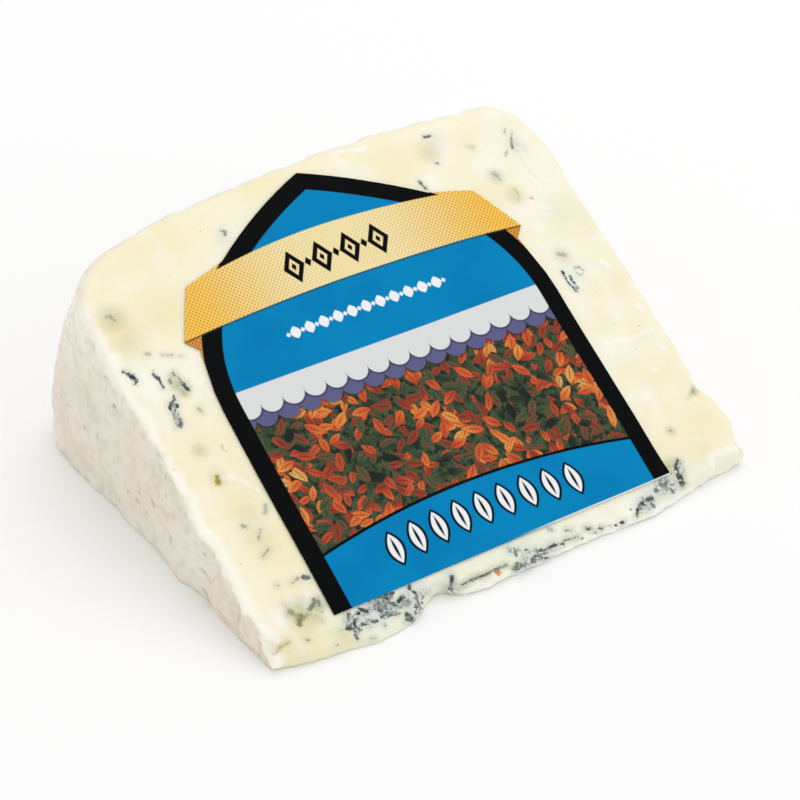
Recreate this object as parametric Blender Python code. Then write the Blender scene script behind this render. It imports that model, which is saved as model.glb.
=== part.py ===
"""A wedge of blue cheese: one twelfth of a wheel, with a printed label.

The wheel's axis lies along X. The wedge rests on one cut face, its thin tip
towards -Y and the wheel's crowned side towards +Y. The label lies on the other
cut face, which slopes up from the tip. Lengths are in metres.
"""

import math

import bmesh
import bpy
from mathutils import Matrix, Vector, noise

# The wheel and the sector cut from it
WHEEL_RADIUS = 0.0926
WHEEL_HEIGHT = 0.1015
SECTOR_ANGLE = math.radians(30)
TIP_HEIGHT = 0.0024
CROWN_X = 0.064
CROWN_RADIUS = 0.330

# Where the crowned side turns in to an end: how far along the wheel's axis, and how deep
LEFT_SHOULDER = (0.013, 0.011)
RIGHT_SHOULDER = (0.008, 0.010)

# Rounding of the cut edges
RIM_EDGE = 0.004
BASE_EDGE = 0.0015
TIP_EDGE = 0.0012
TIP_EDGE_SHARE = 0.8
END_EDGE = 0.0012

# The uneven surface: how high, how long and how far in from an edge
FACE_WAVE = 0.00055
FACE_WAVE_LENGTH = 0.026
RIM_WAVE = 0.0008
RIM_WAVE_LENGTH = 0.020
RIM_SAG = 0.0046
RIM_SAG_HEIGHT = 0.042
EDGE_REACH = 0.006
TIP_REACH = 0.013
SIDE_REACH = 0.009
BASE_REACH = 0.004

# The crumbled tip: a chunk is missing, its ends fall back, and lobes stand out.
# A lobe has how far it stands out, where it is along the edge, and its half width.
MISSING_CHUNK = (0.0036, 0.0333, 0.0046)
MISSING_CHUNK_POWER = 0.6
LEFT_CORNER = (0.0022, 0.0100)
RIGHT_CORNER = (0.0024, 0.0220)
TIP_LOBES = ((0.0014, 0.0205, 0.0090), (0.0005, 0.0410, 0.0050), (0.0007, 0.0770, 0.0080))
TIP_RIPPLE = (0.0004, 0.0045)
TIP_FORWARD = 0.0004

# The two ends, from the tip to the rim: lobes stand out, nicks and creases go in
LEFT_LOBES = ((-0.0006, 0.0205, 0.0030), (0.0008, 0.0262, 0.0040), (0.0007, 0.0570, 0.0090))
RIGHT_LOBES = ((0.0017, 0.0092, 0.0080), (-0.0006, 0.0172, 0.0034))
SIDE_RIPPLE = (0.0005, 0.014)

# Steps of the mesh
STATION_STEP = 0.0027
LEFT_STEPS = 6
RIGHT_STEPS = 5
BASE_STEPS = 9
RIM_STEPS = 9
FACE_STEPS = 27
CORNER_STEPS = 3
END_GRID = 0.005
END_RAYS = (0.3, 0.65)
BASE_CROWDING = 1.4
FACE_CROWDING = 1.25

# The label, in its own plane: across from its middle line, and up from its foot
LABEL_X = 0.0492
LABEL_FOOT = 0.0039
LABEL_TURN = math.radians(-0.9)
LABEL_THICKNESS = 0.00035
LABEL_GAP = 0.00035
LABEL_GRID = 0.006
ARCH_HALF_WIDTH = 0.0356
ARCH_SPRING = 0.0410
ARCH_HEIGHT = 0.0798
HAUNCH_RADIUS = 0.0330
HAUNCH_TURN = math.radians(54)
ARCH_STEPS = 8
RIBBON_TOP = Vector((0.0306, 0.0652))
RIBBON_CORNER = Vector((0.0359, 0.0554))
RIBBON_FOLD = Vector((0.0339, 0.0532))
RIBBON_CLEAR = 0.001

# How far the sloping face's plane reaches behind the tip to the wheel's axis
AXIS_BACK = TIP_HEIGHT / math.tan(SECTOR_ANGLE)
SINE, COSINE = math.sin(SECTOR_ANGLE), math.cos(SECTOR_ANGLE)
UP_SLOPE = Vector((0, COSINE, SINE))
OUT_OF_SLOPE = Vector((0, -SINE, COSINE))


def clear_scene():
    for old in list(bpy.data.objects):
        bpy.data.objects.remove(old)


def material(name, colour, roughness):
    made = bpy.data.materials.new(name)
    made.use_nodes = True
    shader = made.node_tree.nodes["Principled BSDF"]
    shader.inputs["Base Color"].default_value = (*colour, 1)
    shader.inputs["Roughness"].default_value = roughness
    shader.inputs["Metallic"].default_value = 0
    return made


def add_object(name, bm, finish, parent):
    """A mesh object from bm, shaded smooth but for its sharp edges."""
    bmesh.ops.recalc_face_normals(bm, faces=bm.faces)
    bmesh.ops.triangulate(bm, faces=bm.faces)
    mesh = bpy.data.meshes.new(name)
    bm.to_mesh(mesh)
    bm.free()
    mesh.shade_smooth()
    mesh.set_sharp_from_angle(angle=math.radians(40))
    mesh.materials.append(finish)
    made = bpy.data.objects.new(name, mesh)
    made.parent = parent
    bpy.context.scene.collection.objects.link(made)
    return made


def bump(value, centre, half_width):
    """1 at the centre, falling smoothly to 0 at half_width to either side."""
    share = min(1.0, abs(value - centre) / half_width)
    return (1 - share**2) ** 2


def fade(value, reach):
    """1 at 0, falling smoothly to 0 at reach."""
    share = min(1.0, max(0.0, value / reach))
    return 1 - share * share * (3 - 2 * share)


def shoulder_fall(distance, shoulder):
    """How far a shoulder has fallen at a distance inside the end."""
    width, depth = shoulder
    share = min(1.0, max(0.0, 1 - distance / width))
    return depth * (1 - math.sqrt(1 - share**2))


def rim_radius(x):
    """The wheel's radius at x: a crowned side that turns in at two round shoulders."""
    crown = (x - CROWN_X) ** 2 / (2 * CROWN_RADIUS)
    left = shoulder_fall(x, LEFT_SHOULDER)
    right = shoulder_fall(WHEEL_HEIGHT - x, RIGHT_SHOULDER)
    return WHEEL_RADIUS - crown - left - right


def arc(middle, start, end, steps):
    """The points from start to end round a middle that is as far from both."""
    radius = (start - middle).length
    first, last = (start - middle).normalized(), (end - middle).normalized()
    return [middle + radius * first.slerp(last, i / steps) for i in range(steps + 1)]


def corner_arc(corner, towards, away, radius):
    """Points that round a corner between two unit directions that leave it."""
    half = towards.angle(away) / 2
    middle = corner + (towards + away).normalized() * radius / math.sin(half)
    reach = radius / math.tan(half)
    return arc(middle, corner + towards * reach, corner + away * reach, CORNER_STEPS)


def between(start, end, steps, power):
    """The points between two ends, without the ends. A power over 1 crowds the start."""
    return [start.lerp(end, (i / steps) ** power) for i in range(1, steps)]


def section(x):
    """The outline of the plain wedge across X, as (y, z): base, rim, sloping face, tip."""
    end = (END_EDGE, END_EDGE)
    face_inset = shoulder_fall(x, end) + shoulder_fall(WHEEL_HEIGHT - x, end)
    base_inset = face_inset / 4
    radius = rim_radius(x)
    low = math.asin(base_inset / radius)
    high = SECTOR_ANGLE - math.asin(face_inset / radius)
    first = low + BASE_EDGE / radius
    last = high - RIM_EDGE / radius

    def on_rim(angle):
        return Vector((radius * math.cos(angle) - AXIS_BACK, radius * math.sin(angle)))

    def along_rim(angle):
        return Vector((-math.sin(angle), math.cos(angle)))

    slope = Vector((COSINE, SINE))
    tip_y = base_inset
    tip_low = Vector((tip_y, base_inset))
    tip_high = Vector((tip_y, TIP_HEIGHT + (tip_y * SINE - face_inset) / COSINE))
    tip_edge = min(TIP_EDGE, TIP_EDGE_SHARE * (tip_high.y - tip_low.y))

    base_round = corner_arc(on_rim(low), Vector((-1, 0)), along_rim(low), BASE_EDGE)
    face_round = corner_arc(on_rim(high), -along_rim(high), -slope, RIM_EDGE)
    tip_round = corner_arc(tip_high, slope, Vector((0, -1)), tip_edge)
    foot_round = corner_arc(tip_low, Vector((0, 1)), Vector((1, 0)), tip_edge / 2)

    base = between(foot_round[-1], base_round[0], BASE_STEPS, BASE_CROWDING)
    rim = [on_rim(first + (last - first) * i / RIM_STEPS) for i in range(1, RIM_STEPS)]
    face = between(tip_round[0], face_round[-1], FACE_STEPS, FACE_CROWDING)
    outline = base + base_round + rim + face_round
    return outline + face[::-1] + tip_round + foot_round


def stations():
    """The places of the sections along X, closer together where the shoulders turn."""

    def shoulder(width, steps):
        return [width * (1 - math.cos(math.pi / 2 * i / steps)) for i in range(steps + 1)]

    left = shoulder(LEFT_SHOULDER[0], LEFT_STEPS)
    right = [WHEEL_HEIGHT - x for x in shoulder(RIGHT_SHOULDER[0], RIGHT_STEPS)]
    span = right[-1] - left[-1]
    count = round(span / STATION_STEP)
    middle = [left[-1] + span * i / count for i in range(1, count)]
    return left + middle + right[::-1]


def face_height(x, along):
    """How far the sloping cut face waves out of its plane."""
    return FACE_WAVE * noise.noise(Vector((x, along, 0.3)) / FACE_WAVE_LENGTH)


def rim_height(x, z):
    """The lumps of the crowned side, and its sag where the wedge rests."""
    lumps = RIM_WAVE * noise.noise(Vector((x, 5.0, z)) / RIM_WAVE_LENGTH)
    return lumps + RIM_SAG * fade(z, RIM_SAG_HEIGHT)


def lobes(value, listed):
    """How far an edge stands out at a place along it, for its listed lobes."""
    return sum(out * bump(value, where, half_width) for out, where, half_width in listed)


def ripple(value, waves, seed):
    """The small waves of an edge."""
    height, length = waves
    return height * noise.noise(Vector((value / length, seed, 0.4)))


def corner(distance, size):
    """How far an edge falls back at a distance from its end."""
    depth, reach = size
    return depth * fade(distance, reach)


def tip_line(x):
    """How far the crumbled tip stands behind its straight line."""
    depth, where, half_width = MISSING_CHUNK
    chunk = depth * bump(x, where, half_width) ** MISSING_CHUNK_POWER
    corners = corner(x, LEFT_CORNER) + corner(WHEEL_HEIGHT - x, RIGHT_CORNER)
    return chunk + corners + ripple(x, TIP_RIPPLE, 0.7) - lobes(x, TIP_LOBES) - TIP_FORWARD


def left_line(along):
    """How far the left end stands out."""
    return lobes(along, LEFT_LOBES) + ripple(along, SIDE_RIPPLE, 3.1)


def right_line(along):
    """How far the right end stands out."""
    return lobes(along, RIGHT_LOBES) + ripple(along, SIDE_RIPPLE, 8.2)


def uneven(point):
    """The point of the plain wedge moved to where the real surface is."""
    x, y, z = point
    along = y * COSINE + (z - TIP_HEIGHT) * SINE
    depth = TIP_HEIGHT * COSINE - Vector((0, y, z)).dot(OUT_OF_SLOPE)
    outward = Vector((0, y + AXIS_BACK, z))
    behind_rim = rim_radius(x) - outward.length
    off_base = 1 - fade(z, BASE_REACH)

    moved = Vector(point)
    moved += OUT_OF_SLOPE * face_height(x, along) * fade(depth, EDGE_REACH) * off_base
    moved += outward.normalized() * rim_height(x, z) * fade(behind_rim, EDGE_REACH)
    moved += outward.normalized() * tip_line(x) * fade(y, TIP_REACH)
    moved.x -= left_line(along) * fade(x, SIDE_REACH)
    moved.x += right_line(along) * fade(WHEEL_HEIGHT - x, SIDE_REACH)
    return moved


def join_rings(bm, first, second):
    for i in range(len(first)):
        after = (i + 1) % len(first)
        bm.faces.new((first[i], first[after], second[after], second[i]))


def close_end(bm, ring):
    """Fills a flat end, and cuts it up so that it can be uneven too."""
    face = bm.faces.new(ring)
    geometry = [face, *face.edges, *face.verts]
    count = math.floor(WHEEL_RADIUS / END_GRID)
    cuts = [(Vector((0, END_GRID * i, 0)), Vector((0, 1, 0))) for i in range(1, count)]
    for share in END_RAYS:
        angle = SECTOR_ANGLE * share
        normal = Vector((0, -math.sin(angle), math.cos(angle)))
        cuts.append((Vector((0, -AXIS_BACK, 0)), normal))
    for place, normal in cuts:
        cut = bmesh.ops.bisect_plane(bm, geom=geometry, plane_co=place, plane_no=normal)
        geometry = cut["geom"]


def cheese_wedge(finish, parent):
    bm = bmesh.new()
    rings = [[bm.verts.new((x, *point)) for point in section(x)] for x in stations()]
    for first, second in zip(rings, rings[1:]):
        join_rings(bm, first, second)
    close_end(bm, rings[0])
    close_end(bm, rings[-1])
    for vert in bm.verts:
        vert.co = uneven(vert.co)
    return add_object("cheese", bm, finish, parent)


def arch_half():
    """The right half of a four-centred arch, from its spring to its point."""
    spring = Vector((ARCH_HALF_WIDTH, ARCH_SPRING))
    point = Vector((0, ARCH_HEIGHT))
    haunch_middle = spring - Vector((HAUNCH_RADIUS, 0))
    turn = Vector((math.cos(HAUNCH_TURN), math.sin(HAUNCH_TURN)))
    joint = haunch_middle + turn * HAUNCH_RADIUS

    # The upper arc leaves the haunch smoothly, so its middle lies on the same line
    chord = point - joint
    upper_middle = joint + turn * chord.length_squared / (2 * chord.dot(turn))
    haunch = arc(haunch_middle, spring, joint, ARCH_STEPS)
    return haunch + arc(upper_middle, joint, point, ARCH_STEPS)[1:]


def label_outline():
    """The die-cut outline: an arch, and the two ends of a ribbon that crosses it."""
    arch = arch_half()
    below = [point for point in arch if point.y < RIBBON_FOLD.y - RIBBON_CLEAR]
    above = [point for point in arch if point.y > RIBBON_TOP.y + RIBBON_CLEAR]
    ribbon = [RIBBON_FOLD, RIBBON_CORNER, RIBBON_TOP]
    right = [Vector((ARCH_HALF_WIDTH, 0))] + below + ribbon + above
    left = [Vector((-point.x, point.y)) for point in right[-2::-1]]
    return right + left


def on_sloping_face(across, up, gap):
    """The place over the sloping face of a point of the label."""
    turned = Matrix.Rotation(LABEL_TURN, 2) @ Vector((across, up))
    x = LABEL_X + turned.x
    along = LABEL_FOOT + turned.y
    tip = Vector((x, 0, TIP_HEIGHT))
    return tip + UP_SLOPE * along + OUT_OF_SLOPE * (face_height(x, along) + gap)


def label(finish, parent):
    """The label: a thin flat sheet, cut up by a grid and laid over the sloping face."""
    bm = bmesh.new()
    bm.faces.new([bm.verts.new((*point, 0)) for point in label_outline()])
    half_count = math.ceil(ARCH_HEIGHT / LABEL_GRID)
    for i in range(-half_count, half_count + 1):
        for axis in (Vector((1, 0, 0)), Vector((0, 1, 0))):
            bmesh.ops.bisect_plane(
                bm,
                geom=bm.verts[:] + bm.edges[:] + bm.faces[:],
                plane_co=axis * i * LABEL_GRID,
                plane_no=axis,
            )
    sheet = bmesh.ops.extrude_face_region(bm, geom=bm.faces[:])
    upper = [part for part in sheet["geom"] if isinstance(part, bmesh.types.BMVert)]
    bmesh.ops.translate(bm, verts=upper, vec=(0, 0, LABEL_THICKNESS))
    for vert in bm.verts:
        across, up, above = vert.co
        vert.co = on_sloping_face(across, up, LABEL_GAP + above)
    return add_object("label", bm, finish, parent)


def centre_on_origin(carrier, piece):
    """Moves the carrier so that the piece stands centred over the origin."""
    corners = [Vector(corner) for corner in piece.bound_box]
    middle = sum(corners, Vector()) / len(corners)
    carrier.location = (-middle.x, -middle.y, 0)


clear_scene()
wedge = bpy.data.objects.new("wedge", None)
bpy.context.scene.collection.objects.link(wedge)
paste = material("cheese paste", (0.90, 0.86, 0.69), 0.42)
paper = material("printed label", (0.02, 0.24, 0.52), 0.30)
cheese = cheese_wedge(paste, wedge)
label(paper, wedge)
centre_on_origin(wedge, cheese)
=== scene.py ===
# %% [markdown]
# A wedge of blue cheese with a printed label.
# The imported model holds two plain solids: a twelfth of a small wheel of blue cheese, and the paper label on
# its upper cut face. In this lesson they get the look of the real thing: moist ivory paste with veins of
# mould, a dull crackled rind, a crumbled tip, and a coated paper label whose print is made of fields of
# colour and simple shapes. First the imported model is loaded, and the box of each of its parts is printed.

import math
import random

import bmesh
import bpy
import numpy as np
from mathutils import Matrix, Vector, noise


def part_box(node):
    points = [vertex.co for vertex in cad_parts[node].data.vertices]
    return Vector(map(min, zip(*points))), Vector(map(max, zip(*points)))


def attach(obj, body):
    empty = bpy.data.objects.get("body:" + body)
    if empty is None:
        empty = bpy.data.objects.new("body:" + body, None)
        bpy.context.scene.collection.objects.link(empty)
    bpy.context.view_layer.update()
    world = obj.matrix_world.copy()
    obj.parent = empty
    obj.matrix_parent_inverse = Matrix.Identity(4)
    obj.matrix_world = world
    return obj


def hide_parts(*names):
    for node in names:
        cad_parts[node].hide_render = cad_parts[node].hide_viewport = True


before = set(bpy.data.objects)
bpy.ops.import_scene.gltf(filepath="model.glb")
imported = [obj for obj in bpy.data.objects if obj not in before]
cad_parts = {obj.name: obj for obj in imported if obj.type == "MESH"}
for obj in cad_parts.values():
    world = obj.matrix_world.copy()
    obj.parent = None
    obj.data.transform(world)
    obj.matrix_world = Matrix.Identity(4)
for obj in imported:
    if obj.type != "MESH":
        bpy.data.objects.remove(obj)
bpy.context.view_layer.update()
MM = 0.001
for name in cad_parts:
    low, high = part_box(name)
    print(name, "box in mm:", [round(value / MM, 1) for value in (*low, *high)])

# %% [markdown]
# The camera stands where the photographer's did: to the left of the thin tip and well above it, with a long
# lens, so the wedge's edges hardly converge. A camera looks down its own -Z axis, so a rotation that tracks
# -Z along the view direction aims it, and keeps its top up.

# %% The camera
VIEW_AZIMUTH = math.radians(-34.26)
VIEW_ELEVATION = math.radians(35.54)
EYE = Vector((-208.04, -311.68, 276.74)) * MM
SENSOR_WIDTH = 36.0
LENS = 112.5

towards_eye = Vector((
    math.sin(VIEW_AZIMUTH) * math.cos(VIEW_ELEVATION),
    -math.cos(VIEW_AZIMUTH) * math.cos(VIEW_ELEVATION),
    math.sin(VIEW_ELEVATION),
))
camera_data = bpy.data.cameras.new("camera")
camera_data.sensor_width = SENSOR_WIDTH
camera_data.lens = LENS
camera = bpy.data.objects.new("camera", camera_data)
camera.location = EYE
camera.rotation_euler = (-towards_eye).to_track_quat("-Z", "Y").to_euler()
bpy.context.scene.collection.objects.link(camera)
bpy.context.scene.camera = camera
print("the camera is", round(EYE.length, 3), "m from the wedge")

# %% [markdown]
# Everything on the upper cut face is easiest to place in that face's own coordinates: x along the thin tip,
# and up the slope from the tip. The face is a plane that rises at the sector's angle from an edge a little
# above the table. At the tip the face rolls over into a low upright strip, so "up" goes on below zero down
# that strip, as if the surface were unrolled.

# %% The upper cut face's own coordinates
SLOPE = math.radians(30)
TIP_CORNER = Vector((-51.08, -45.66, 2.40)) * MM
WHEEL_RADIUS = 92.6 * MM
UP_SLOPE = Vector((0, math.cos(SLOPE), math.sin(SLOPE)))
OUT_OF_SLOPE = Vector((0, -math.sin(SLOPE), math.cos(SLOPE)))
FACE_WAVE = 0.55 * MM
FACE_WAVE_LENGTH = 26 * MM


def face_wave(x, up):
    """How far the cut face waves out of its plane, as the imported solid's does."""
    return FACE_WAVE * noise.noise(Vector((x, up, 0.3)) / FACE_WAVE_LENGTH)


print("the cut face rises", round(WHEEL_RADIUS * math.sin(SLOPE) / MM, 1), "mm")

# %% [markdown]
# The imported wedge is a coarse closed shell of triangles. A copy of it becomes the smooth paste: its doubled
# points are merged, its triangles are paired into quads, and Subdivision Surface rounds it. The modifier is
# applied at once, because the marks that come next need its points.


# %% The wedge's smooth shell
JOIN_ANGLE = math.radians(30)
SKEW_ANGLE = math.radians(50)
DOUBLE_DISTANCE = 0.01 * MM
SHELL_LEVELS = 2


def copy_of_node(name):
    """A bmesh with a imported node's shape, its doubles merged and its triangles paired."""
    bm = bmesh.new()
    bm.from_mesh(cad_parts[name].data)
    bmesh.ops.remove_doubles(bm, verts=bm.verts, dist=DOUBLE_DISTANCE)
    bmesh.ops.join_triangles(
        bm,
        faces=bm.faces,
        angle_face_threshold=JOIN_ANGLE,
        angle_shape_threshold=SKEW_ANGLE,
    )
    return bm


def mesh_from(bm, name):
    """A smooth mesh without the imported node's own normals."""
    mesh = bpy.data.meshes.new(name)
    bm.to_mesh(mesh)
    bm.free()
    for old in ("custom_normal", "sharp_edge", "sharp_face"):
        if old in mesh.attributes:
            mesh.attributes.remove(mesh.attributes[old])
    mesh.shade_smooth()
    return mesh


def add_piece(name, mesh):
    """A new piece that rides on the one body."""
    piece = bpy.data.objects.new(name, mesh)
    bpy.context.scene.collection.objects.link(piece)
    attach(piece, "root")
    return piece


cheese = add_piece("cheese_paste", mesh_from(copy_of_node("cheese"), "cheese_paste"))
rounding = cheese.modifiers.new("rounding", "SUBSURF")
rounding.levels = rounding.render_levels = SHELL_LEVELS
seen = cheese.evaluated_get(bpy.context.evaluated_depsgraph_get())
rounded_mesh = bpy.data.meshes.new_from_object(seen)
cheese.modifiers.clear()
cheese.data = rounded_mesh
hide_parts("cheese")
print("the smooth shell has", len(rounded_mesh.polygons), "faces")

# %% [markdown]
# The label's outline decides where the paste is bare. It is an arch with four centres, a pointed one with
# round haunches, whose top is crossed by a ribbon. How deep a point lies inside the arch follows from those
# circles alone, so the same small function serves the paste here, and later the label's black border.

# %% The label's arch
ARCH_HALF_WIDTH = 35.6 * MM
ARCH_SPRING = 41.0 * MM
ARCH_HEIGHT = 79.8 * MM
HAUNCH_RADIUS = 33.0 * MM
HAUNCH_TURN = math.radians(54)
LABEL_FOOT = Vector((49.2, 3.9)) * MM
LABEL_TURN = math.radians(-0.9)
RIBBON_LOW = 53.2 * MM
RIBBON_HIGH = 65.2 * MM

haunch_middle = Vector((ARCH_HALF_WIDTH - HAUNCH_RADIUS, ARCH_SPRING))
haunch_end = Vector((math.cos(HAUNCH_TURN), math.sin(HAUNCH_TURN)))
arch_joint = haunch_middle + haunch_end * HAUNCH_RADIUS
arch_chord = Vector((0, ARCH_HEIGHT)) - arch_joint
UPPER_RADIUS = -arch_chord.length_squared / (2 * arch_chord.dot(haunch_end))
upper_middle = arch_joint - haunch_end * UPPER_RADIUS


def arch_depth(across, up):
    """How deep points of the label lie inside its arch. The foot doesn't count."""
    side = np.abs(across)
    turn = np.arctan2(up - haunch_middle.y, side - haunch_middle.x)
    to_haunch = HAUNCH_RADIUS - np.hypot(side - haunch_middle.x, up - haunch_middle.y)
    to_upper = UPPER_RADIUS - np.hypot(side - upper_middle.x, up - upper_middle.y)
    arched = np.where(turn < HAUNCH_TURN, to_haunch, to_upper)
    return np.where(up < ARCH_SPRING, ARCH_HALF_WIDTH - side, arched)


def on_label(x, up):
    """A point of the cut face in the label's own coordinates: across and up."""
    cosine, sine = math.cos(LABEL_TURN), math.sin(LABEL_TURN)
    right, above = x - LABEL_FOOT.x, up - LABEL_FOOT.y
    return right * cosine + above * sine, above * cosine - right * sine


print("the arch's upper circles have a radius of", round(UPPER_RADIUS / MM, 1), "mm")

# %% [markdown]
# The rind is lumpy, the tip crumbly and the left edge uneven, so the mesh has to be fine there, and can stay
# coarse on the flat paste, under the label and on the underside. Each face's middle says which surface it
# lies on. Cutting all edges of the chosen faces in half gives them four times the points.

# %% Finer mesh where the surface is rough
LABEL_MARGIN = 1.0 * MM
TIP_STRIP = 3.0 * MM
EDGE_STRIP = 5.0 * MM
ROUGH_FACE = 0.55 * MM


def face_coordinates(points):
    """The x, up and depth under the cut face of points of the wedge, as three arrays."""
    offset = np.asarray(points) - np.array(TIP_CORNER)
    along = offset @ np.array(UP_SLOPE)
    depth = -(offset @ np.array(OUT_OF_SLOPE))
    rolled = np.clip(depth, 0, TIP_STRIP) * math.tan(SLOPE)
    near_tip = along < 2 * TIP_STRIP
    return offset[:, 0], along - np.where(near_tip, rolled, 0), depth


def under_label(x, up):
    """True where the label covers the cut face."""
    across, above = on_label(x, up)
    inside_arch = (arch_depth(across, above) > LABEL_MARGIN) & (above > LABEL_MARGIN)
    in_ribbon = (above > RIBBON_LOW) & (above < RIBBON_HIGH) & (np.abs(across) < ARCH_HALF_WIDTH)
    return inside_arch | in_ribbon


def refine(mesh, wanted):
    """Cuts every edge of the wanted faces in half. The dict keeps the edges in the same order each run."""
    bm = bmesh.new()
    bm.from_mesh(mesh)
    bm.faces.ensure_lookup_table()
    edges = dict.fromkeys(edge for index in np.flatnonzero(wanted) for edge in bm.faces[index].edges)
    bmesh.ops.subdivide_edges(bm, edges=list(edges), cuts=1, use_grid_fill=True)
    bm.to_mesh(mesh)
    bm.free()


def face_values(mesh, name):
    """One vector per face, such as its center or its normal."""
    values = np.empty(len(mesh.polygons) * 3)
    mesh.polygons.foreach_get(name, values)
    return values.reshape(-1, 3)


def larger_than(mesh, side):
    """True for each face that is larger than a square with this side."""
    areas = np.empty(len(mesh.polygons))
    mesh.polygons.foreach_get("area", areas)
    return areas > side**2


def rough_faces(mesh):
    """The large faces of the rind, of the tip and of the cut face's left edge."""
    centres, normals = face_values(mesh, "center"), face_values(mesh, "normal")
    x, up, depth = face_coordinates(centres)
    sloping = normals @ np.array(OUT_OF_SLOPE) > 0.8
    near_edge = sloping & ~under_label(x, up) & ((up < EDGE_STRIP) | (x < EDGE_STRIP))
    upright = ~sloping & (normals[:, 2] > -0.6)
    return (near_edge | upright) & larger_than(mesh, ROUGH_FACE)


refine(cheese.data, rough_faces(cheese.data))
print("refined to", len(cheese.data.polygons), "faces")
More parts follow.
